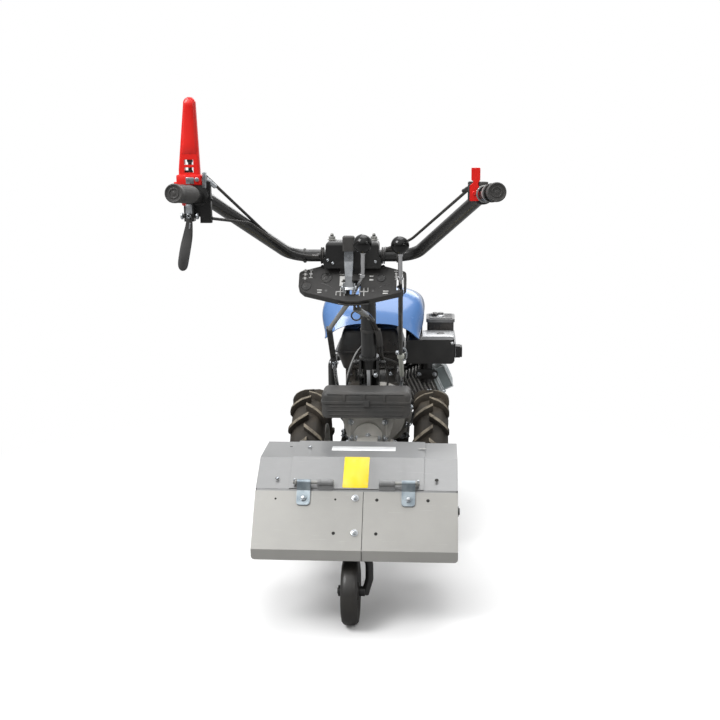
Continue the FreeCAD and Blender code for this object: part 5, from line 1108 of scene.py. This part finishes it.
def cleaner_fittings():
    """Clip, knob and lid panel of the air cleaner, its grey a painted highlight on the top, its mouth and the black
    elbow to the carburettor.
    """
    x, y, z = 198, 262, 578
    piece("cleaner_clip", "chassis", "shield_bright", [
        turned([(0, 0), (12, 0), (12, 2), (10, 4), (6, 5), (0, 5)], (x, y, z), (0, 0, 1), 32),
        block((17, 6, 0.8), (x - 12, y - 6, z + 0.6))], bevel=0.6)
    piece("cleaner_knob", "chassis", "tank_black", [
        turned([(0, 0), (4.8, 0), (5.2, 3), (4.6, 8), (0, 9)], (x - 17 + c, y + 6 + s, z), steps=16)
        for c, s in (on_circle(8, 72 * k) for k in range(5))] + [
        turned([(0, 0), (8, 0), (8, 9), (5, 11.5), (0, 11.5)], (x - 17, y + 6, z))])
    # the lid's grey is a painted highlight on the top of the black cleaner
    piece("cleaner_lid_panel", "chassis", "cleaner_lid", [
        prism(rounded_outline(72, 84, 10), placed(198, 272, 576), 2.2)] + [
        block((10.5, 1.8, 1.2), (at, along, 578.6)) for along in (250, 272, 294) for at in (222, 174)],
        bevel=0.8)
    piece("intake_elbow", "chassis", "cowl_black", [
        prism(rounded_outline(50, 52, 12), placed(118, 268, 448), 104),
        tube([(132, 262, 476), (142, 258, 476), (152, 254, 476)], 19, 28)], bevel=3, segments=3)
    piece("cleaner_mouth", "chassis", "tank_black", [
        prism(rounded_outline(30, 20, 4), placed(238, 272, 520, 90, "Y") @ Matrix.Rotation(math.radians(90), 4, "Z"),
              3)], bevel=0.8)


def tank_fittings():
    """Ribbed filler cap, fuel tap and hose, and the bolts of the tank."""
    low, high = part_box("fuel_cap")
    at, r = (low + high) / 2, (high.x - low.x) / 2 / MM
    ribs = []
    for k in range(28):
        a = 360 * k / 28
        shift = Vector((*on_circle(r - 0.6, a), -2)) * MM
        ribs.append(block((1.2, 1.1, 6.2), Matrix.Translation(at + shift) @ Matrix.Rotation(math.radians(a), 4, "Z")))
    crown = Vector((at.x, at.y, high.z))
    piece("fuel_cap_ribs", "chassis", "black_plastic", ribs + [
        turned([(0, 0), (r * 0.62, 0), (r * 0.62, 1), (r * 0.54, 1), (r * 0.54, 0.3), (0, 0.3)],
               crown - Vector((0, 0, 0.0002)), steps=40),
        block((r * 0.50, 3, 1.2), crown + Vector((0, 0, 0.0003)))], bevel=0.4)
    piece("fuel_tap", "chassis", "cast_alloy", [
        turned([(0, 0), (9, 0), (9, 10), (6, 14), (6, 20), (0, 20)], (66, 290, 444), (0, 0, -1))], bevel=0.5)
    piece("fuel_hose", "chassis", "tank_black", [
        rod([(66, 290, 428), (74, 288, 420), (98, 276, 424), (118, 262, 448), (134, 256, 462)], 4, 8, 16)])
    bolt_set("tank_bolts", [(x, y, 426) for x in (-69, 51) for y in (126, 286)], (0, -0.02, 1), 10)


def engine_fittings():
    """Bolts of the engine, its rails and guard, drain and dipstick, and the starter's boss, lugs and handle."""
    bolt_set("engine_mount_bolts", [(x, y, 232) for x in (-90, 98) for y in (140, 272)], (0, 0, 1), 14)
    bolt_set("rail_bolts", [(x, y, 208) for x in (-84, 84) for y in (160, 240)], (0, 0, -1), 14)
    bolt_set("guard_bolts", [(x, 258, 214.2) for x in (-84, 84)], (0, 0, 1), 13)
    case = ((-78, 240), (86, 240), (-78, 380), (86, 380), (-84, 310), (90, 310))
    bolt_set("case_bolts", [(x, 112, z) for x, z in case], (0, -1, 0), 10)
    bolt_set("oil_drain", [(-88.2, 150, 244)], (-1, 0, 0), 13)
    piece("oil_dipstick", "chassis", "black_plastic", [
        turned([(0, -4), (12, -4), (12, 3), (15, 6), (15, 14), (12, 18), (0, 18)], (-88, 256, 262), (-1, 0, 0.35), 28)],
        bevel=0.8)
    (x, z), rim_y = CRANK, 352
    piece("starter_boss", "chassis", "cowl_black", [
        turned([(40, 0), (40, 1), (44, 2.4), (34.2, 2.4), (28, 1), (0, 1), (0, -0.4), (40, -0.4)],
               (x, rim_y + 37.4, z), (0, 1, 0), 64)])
    lugs = []
    for across, up in (on_circle(87, a) for a in (30, 150, 270)):
        at_x = (x + across) * 1.03
        lugs += [block((8.5, 2.2, 8.5), (at_x, rim_y + 2, z + up)),
                 hex_bolt((at_x, rim_y + 4, z + up), (0, 1, 0), 8, 4)]
    piece("starter_lugs", "chassis", "cowl_black", lugs, bevel=0.5)
    piece("pull_handle", "chassis", "black_plastic", [
        prism(rounded_outline(40, 14, 6), placed(x - 59, rim_y + 31, z + 79, -8, "Y"), 13)], bevel=2.2, segments=3)
    shroud = [on_circle(97, a) for a in (100, 200, 250, 320)]
    bolt_set("shroud_bolts", [(x + across, rim_y - 0.4, z + up) for across, up in shroud], (0, 1, 0), 8)


def bonnet_shell():
    """Thin glossy cover: bowed flanks, a crown that falls to the front and two pointed tails behind."""
    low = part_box("bonnet")[0]
    arch_top, wall, blend_over = 44.5, 3.0, 60
    crest = [(0, 44.5), (12, 67), (26, 84), (44, 100), (64, 115), (84, 126), (104, 131.5), (135, 132.5), (170, 127.5),
             (205, 120.5), (240, 113.5), (275, 105), (300, 96), (320, 84), (336, 66), (346, 42)]
    arch = [(138, 0), (127, 9), (115, 19), (99, 29), (82, 36.5), (62, 41.5), (40, 43.5), (20, 44.5), (0, 44.5)]
    full = [(138, 0.0), (146, 0.20), (151, 0.44), (149, 0.62), (141, 0.77), (126, 0.88), (98, 0.957), (52, 0.992),
            (0, 1.0)]
    build, rows = bmesh.new(), []
    for back, height in crest:
        blend = min(back / blend_over, 1) ** 0.75
        taper = 1 - 0.16 * max((back - 230) / 116, 0) ** 2
        half = [Vector(((ax + (fx - ax) * blend) * taper, back,
                        az * height / arch_top * (1 - blend) + fz * height * blend)) * MM
                for (ax, az), (fx, fz) in zip(arch, full)]
        row = half + [Vector((-p.x, p.y, p.z)) for p in half[-2::-1]]
        rows.append([build.verts.new(p + Vector((0, low.y, low.z))) for p in row])
    skin_between(build, rows)
    front = rows[-1]
    under = [front[0]] + [build.verts.new((v.co.x, v.co.y, low.z)) for v in front[1:-1]] + [front[-1]]
    build.faces.new([front[0], front[1], under[1]])
    for k in range(2, len(front) - 1):
        build.faces.new([under[k - 1], front[k - 1], front[k], under[k]])
    build.faces.new([under[-2], front[-2], front[-1]])
    thing = object_from("bonnet_cover", build)
    rounding = thing.modifiers.new("rounding", "SUBSURF")
    rounding.levels = rounding.render_levels = 2
    sheet = thing.modifiers.new("wall", "SOLIDIFY")
    sheet.thickness, sheet.offset = wall * MM, -1
    apply_modifiers(thing)
    finish_piece(thing, "chassis", "bonnet_blue", 50, "bonnet")


silencer_fittings()
rocker_fittings()
cleaner_fittings()
tank_fittings()
engine_fittings()
bonnet_shell()


# ---- hood and flap ------------------------------------------------------------------------
SLOPE_UP, FLAP_OUT = Vector((0, -0.506, 0.863)), Vector((0, -0.773, 0.634))
FLAP_TOP, FLAP_RUN = (-608.4, 316.6), 0.8208
SLOPE_TOP, SLOPE_RUN = (-517, 373), 87 / 51


def on_flap(x, z):
    """Point on the outer face of the closed flap."""
    return x, FLAP_TOP[0] - (FLAP_TOP[1] - z) * FLAP_RUN, z


def on_slope(x, z, lift=0.0):
    """Point on the sloping outer face of the hood."""
    return x, SLOPE_TOP[0] - (SLOPE_TOP[1] - z) * SLOPE_RUN + lift * SLOPE_UP.y, z + lift * SLOPE_UP.z


def hood_fasteners():
    """Bolts and holes of the flap and the hood, the flap's seam, side washers and two welds."""
    bolt_set("flap_bolts", [on_flap(-1, 304), on_flap(0, 238)], FLAP_OUT, 11, "flap")
    hole_set("flap_holes", [on_flap(x, z) for x, z in ((50, 301), (-49, 237), (50, 237), (170, 301))],
             FLAP_OUT, 8, "flap")
    hole_set("flap_holes_small", [on_flap(-48, 301), on_flap(-190, 301)], FLAP_OUT, 5, "flap")
    hole_set("wing_holes", [on_slope(190, 336, 3), on_slope(-190, 336, 3)], SLOPE_UP, 9)
    screw_set("wing_bolt", [on_slope(-190, 336, 3)], SLOPE_UP, 7, height=0.3)
    screw_set("wing_rivets", [(-127, -440, 373.6)], (0, 0, 1), 11, height=0.3)
    seam = [spot(*on_flap(17.5, z)) + FLAP_OUT * 0.00015 for z in (316, 260, 206)]
    down_flap = Matrix.Rotation(math.radians(-39.4), 4, "X")
    piece("flap_seam", "flap", "hole_dark", [
        block((0.6, 0.25, (b - a).length / 2 / MM), Matrix.Translation((a + b) / 2) @ down_flap)
        for a, b in zip(seam, seam[1:])] + [block((0.6, 0.3, 12.5), (17.5, -700, 192))])
    hole_set("wing_slots", [(-175, -440, 374.2), (-172, -440, 374.2)], (0, 0, 1), 4)
    washer = [(0, 0), (12.5, 0), (12.5, 2), (8.5, 2), (8.5, 4.5), (0, 4.5)]
    for hand, side in SIDES:
        piece(f"side_washer_{side}", "chassis", "tube_black", [
            turned(washer, (hand * 240.2, -590, 264), (hand, 0, 0), 32)], bevel=0.3)
    piece("hood_welds", "chassis", "flap_silver", [
        turned([(0, 0), (4.2, 0.2), (3.6, 1), (0, 1.4)], placed(x, -446, 373.9) @ Matrix.Diagonal((1.5, 0.8, 1, 1)),
               steps=16) for x in (150, 158)])


def hood_plates():
    """Blank yellow plate on the slope and blank white strip on the hood's top."""
    thin_plate("plate_yellow", rounded_outline(61, 98, 3), placed(*on_slope(-2.5, 348.2, 0.2), 30.4), 0.4,
               "plate_yellow")
    thin_plate("plate_white", rounded_outline(159, 38, 2), placed(8.5, -446, 371.3, 1.6), 0.5, "strip_white")


def hinge_fittings():
    """Sleeves, clips and leaf nuts of the flap's two hinges."""
    low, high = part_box("hinge_pins")
    y, z = (low.y + high.y) / 2, (low.z + high.z) / 2
    clip = [(0, -9.5), (2.4, -9.5), (2.8, -8.5), (2.8, 8.5), (2.4, 9.5), (0, 9.5)]
    for hand, side in SIDES:
        axis = Matrix.Translation((0, y, z)) @ Matrix.Rotation(hand * math.pi / 2, 4, "Y")
        piece(f"hinge_sleeve_{side}", "chassis", "hood_silver", [
            ring(4.2, 8.2, 56, 64, axis, steps=32), ring(4.2, 8, 84, 91, axis, steps=32)], bevel=0.6)
        piece(f"hinge_clip_{side}", "chassis", "zinc", [
            turned(clip, Vector((hand * 0.1465, y, z)), (0, -0.2, 1), 18)], bevel=0.3)
        bolt_set(f"leaf_nut_{side}", [on_flap(hand * 124, 301.5)], FLAP_OUT, 13, "flap")


hood_fasteners()
hood_plates()
hinge_fittings()


# ---- tiller -------------------------------------------------------------------------------
ROTOR_Y, ROTOR_Z = -467, 226
STEM_Y = -642


def tine_bolts():
    """Two bolts through each tine and its flange, and the bolts of the gear case's caps."""
    for hand, side in SIDES:
        bolts = []
        for number, x in enumerate((80, 160)):
            for k in range(4):
                face, way = (x - 7, -hand) if k % 2 else (x + 14, hand)
                for lean, radius in ((-9, 36), (12, 44)):
                    y, z = on_circle(radius, 90 * k + 45 * number + (22 if hand > 0 else 0) + lean)
                    bolts.append(hex_bolt((hand * face, ROTOR_Y + y, ROTOR_Z + z), (way, 0, 0), 11, 6))
        piece(f"tine_bolts_{side}", "rotor", "zinc", bolts, bevel=0.5)
    for hand, side in SIDES:
        cap = [on_circle(34, a) for a in range(15, 375, 60)]
        bolt_set(f"case_cap_bolts_{side}", [(hand * 32.2, ROTOR_Y + y, ROTOR_Z + z) for y, z in cap], (hand, 0, 0), 9)


def depth_wheel_tyre():
    """Solid rubber wheel with a rounded tread, ribbed faces and a hub in the same rubber, standing on its axle."""
    hub, (low, high) = middle("depth_wheel"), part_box("depth_wheel")
    r, half = (high.z - low.z) / 2 / MM, (high.x - low.x) / 2 / MM
    profile = [(x, inward - half) for x, inward in (
        (8, 0), (20, 0), (21.5, 1), (23.5, 6.2), (r * 0.58, 6.2), (r * 0.63, 5), (r - 18, 1.2), (r - 12, 0),
        (r - 7, 1), (r - 2.2, 4.8), (r - 0.6, 9.5), (r, 15))]
    profile += [(a, -b) for a, b in profile[::-1]]
    piece("depth_wheel_rubber", "depth_wheel", "depth_rubber", [turned(profile + profile[:1], on_axle(hub), steps=96)],
          replaces="depth_wheel")
    for hand, side in SIDES:
        ribs = []
        for a in range(0, 360, 45):
            shift = Vector((hand * (half - 5.5), *on_circle(34, a))) * MM
            spoke = Matrix.Translation(hub + shift) @ Matrix.Rotation(math.radians(a), 4, "X")
            ribs.append(block((1.2, 10.5, 1.6), spoke))
        piece(f"depth_wheel_ribs_{side}", "depth_wheel", "depth_rubber", ribs, bevel=0.6)


def depth_fittings():
    """Bright washer on the wheel's axle, bolts of the stem's plate and the screw that locks the stem."""
    piece("depth_washer", "chassis", "zinc", [ring(7.5, 15, 0, 2, (-34.2, STEM_Y, 80), (-1, 0, 0), 36)], bevel=0.3)
    bolt_set("depth_stem_plate_bolts", [(x, -551, z) for x in (-15, 15) for z in (236, 276)], (0, -1, 0), 11)
    piece("depth_lock_screw", "chassis", "zinc", [
        tube([(x, STEM_Y, 220) for x in (14, 30, 44)], 5, 18), tube([(42, STEM_Y, z) for z in (202, 220, 238)], 3.5)])


tine_bolts()
depth_wheel_tyre()
depth_fittings()


# ---- camera, light and ground -------------------------------------------------------------
def pale_floor():
    """Soft floor that takes shadows near the machine and runs out into white."""
    build = bmesh.new()
    turned([(0, 0), (1200, 0), (3000, 0), (9000, 0)], Matrix.Translation((0, 0, -0.0005)), steps=96)(build)
    floor = object_from("floor", build)
    pale = bpy.data.materials.new("pale_floor")
    pale.use_nodes = True
    net, nodes_of = Net(pale.node_tree), pale.node_tree.nodes
    shader, direct = nodes_of["Principled BSDF"], net.add("LightPath", "Is Camera Ray")
    for socket, value in {"Roughness": 0.9, "Specular IOR Level": 0.0,
                          "Base Color": net.blend(direct, 0.30, 0.92)}.items():
        net.put(shader.inputs[socket], value)
    away = net.between(net.vector("LENGTH", net.coords()), 0.5, 1.7)
    glow = net.add("Emission", 0, {"Color": 1.0})
    mix = net.add("MixShader", 0, {0: net.math(away, direct), 1: shader.outputs[0], 2: glow})
    net.put(nodes_of["Material Output"].inputs["Surface"], mix)
    floor.data.materials.append(pale)


def soft_sky():
    """White to the camera; to everything else a sky that is brightest overhead and behind the camera's subject."""
    world = bpy.data.worlds.new("studio")
    bpy.context.scene.world = world
    world.use_nodes = True
    net, nodes_of = Net(world.node_tree), world.node_tree.nodes
    sky = net.coords("Generated")

    def toward(x, y, z):
        return net.vector("DOT_PRODUCT", sky, Vector((x, y, z)).normalized())
    overhead = net.between(toward(-0.15, -0.30, 0.94), 0.25, 0.95)
    behind = net.between(toward(0.1, 0.97, 0.2), 0.35, 0.95)
    sides = net.between(net.math(toward(1, 0.1, 0), 0.0, "ABSOLUTE"), 0.72, 0.98)
    bright = net.math(net.math(overhead, 1.25), net.math(behind, 0.8), "ADD")
    bright = net.math(net.math(bright, net.math(sides, 0.55), "ADD"), 0.10, "ADD")
    ambient = nodes_of["Background"]
    net.put(ambient.inputs["Strength"], 0.85)
    net.put(ambient.inputs["Color"], net.add("CombineColor", 0, {name: bright for name in ("Red", "Green", "Blue")}))
    mix = net.add("MixShader", 0, {0: net.add("LightPath", "Is Camera Ray"), 1: ambient.outputs[0],
                                   2: net.add("Background", 0, {"Color": 1.0})})
    net.put(nodes_of["World Output"].inputs["Surface"], mix)


def lamps_and_camera():
    """Four soft lamps and the camera behind the machine."""
    for name, at, power, width in (("key", (-2.0, -1.9, 3.4), 85, 1.6), ("fill", (2.8, -2.2, 2.2), 18, 1.6),
                                   ("top", (0.2, 0.4, 3.6), 46, 2.2), ("back", (0.6, 3.2, 2.4), 34, 2.0)):
        data = bpy.data.lights.new(name, "AREA")
        data.energy, data.size = power, width
        lamp = bpy.data.objects.new(name, data)
        lamp.matrix_world = facing(Vector(at), Vector(at) - Vector((0, 0, 0.55)))
        bpy.context.scene.collection.objects.link(lamp)

    data = bpy.data.cameras.new("camera")
    data.lens, data.sensor_width, data.clip_end = 56.6, 36, 60
    camera = bpy.data.objects.new("camera", data)
    place = Matrix.Translation((0.191, -2.812, 1.204))
    yaw, down, roll = 4.032, 12.621, -0.527
    for degrees, axis in ((yaw, "Z"), (90 - down, "X"), (roll, "Z")):
        place = place @ Matrix.Rotation(math.radians(degrees), 4, axis)
    camera.matrix_world = place
    bpy.context.scene.collection.objects.link(camera)
    bpy.context.scene.camera = camera
    bpy.context.scene.view_settings.view_transform = "Standard"


pale_floor()
soft_sky()
lamps_and_camera()
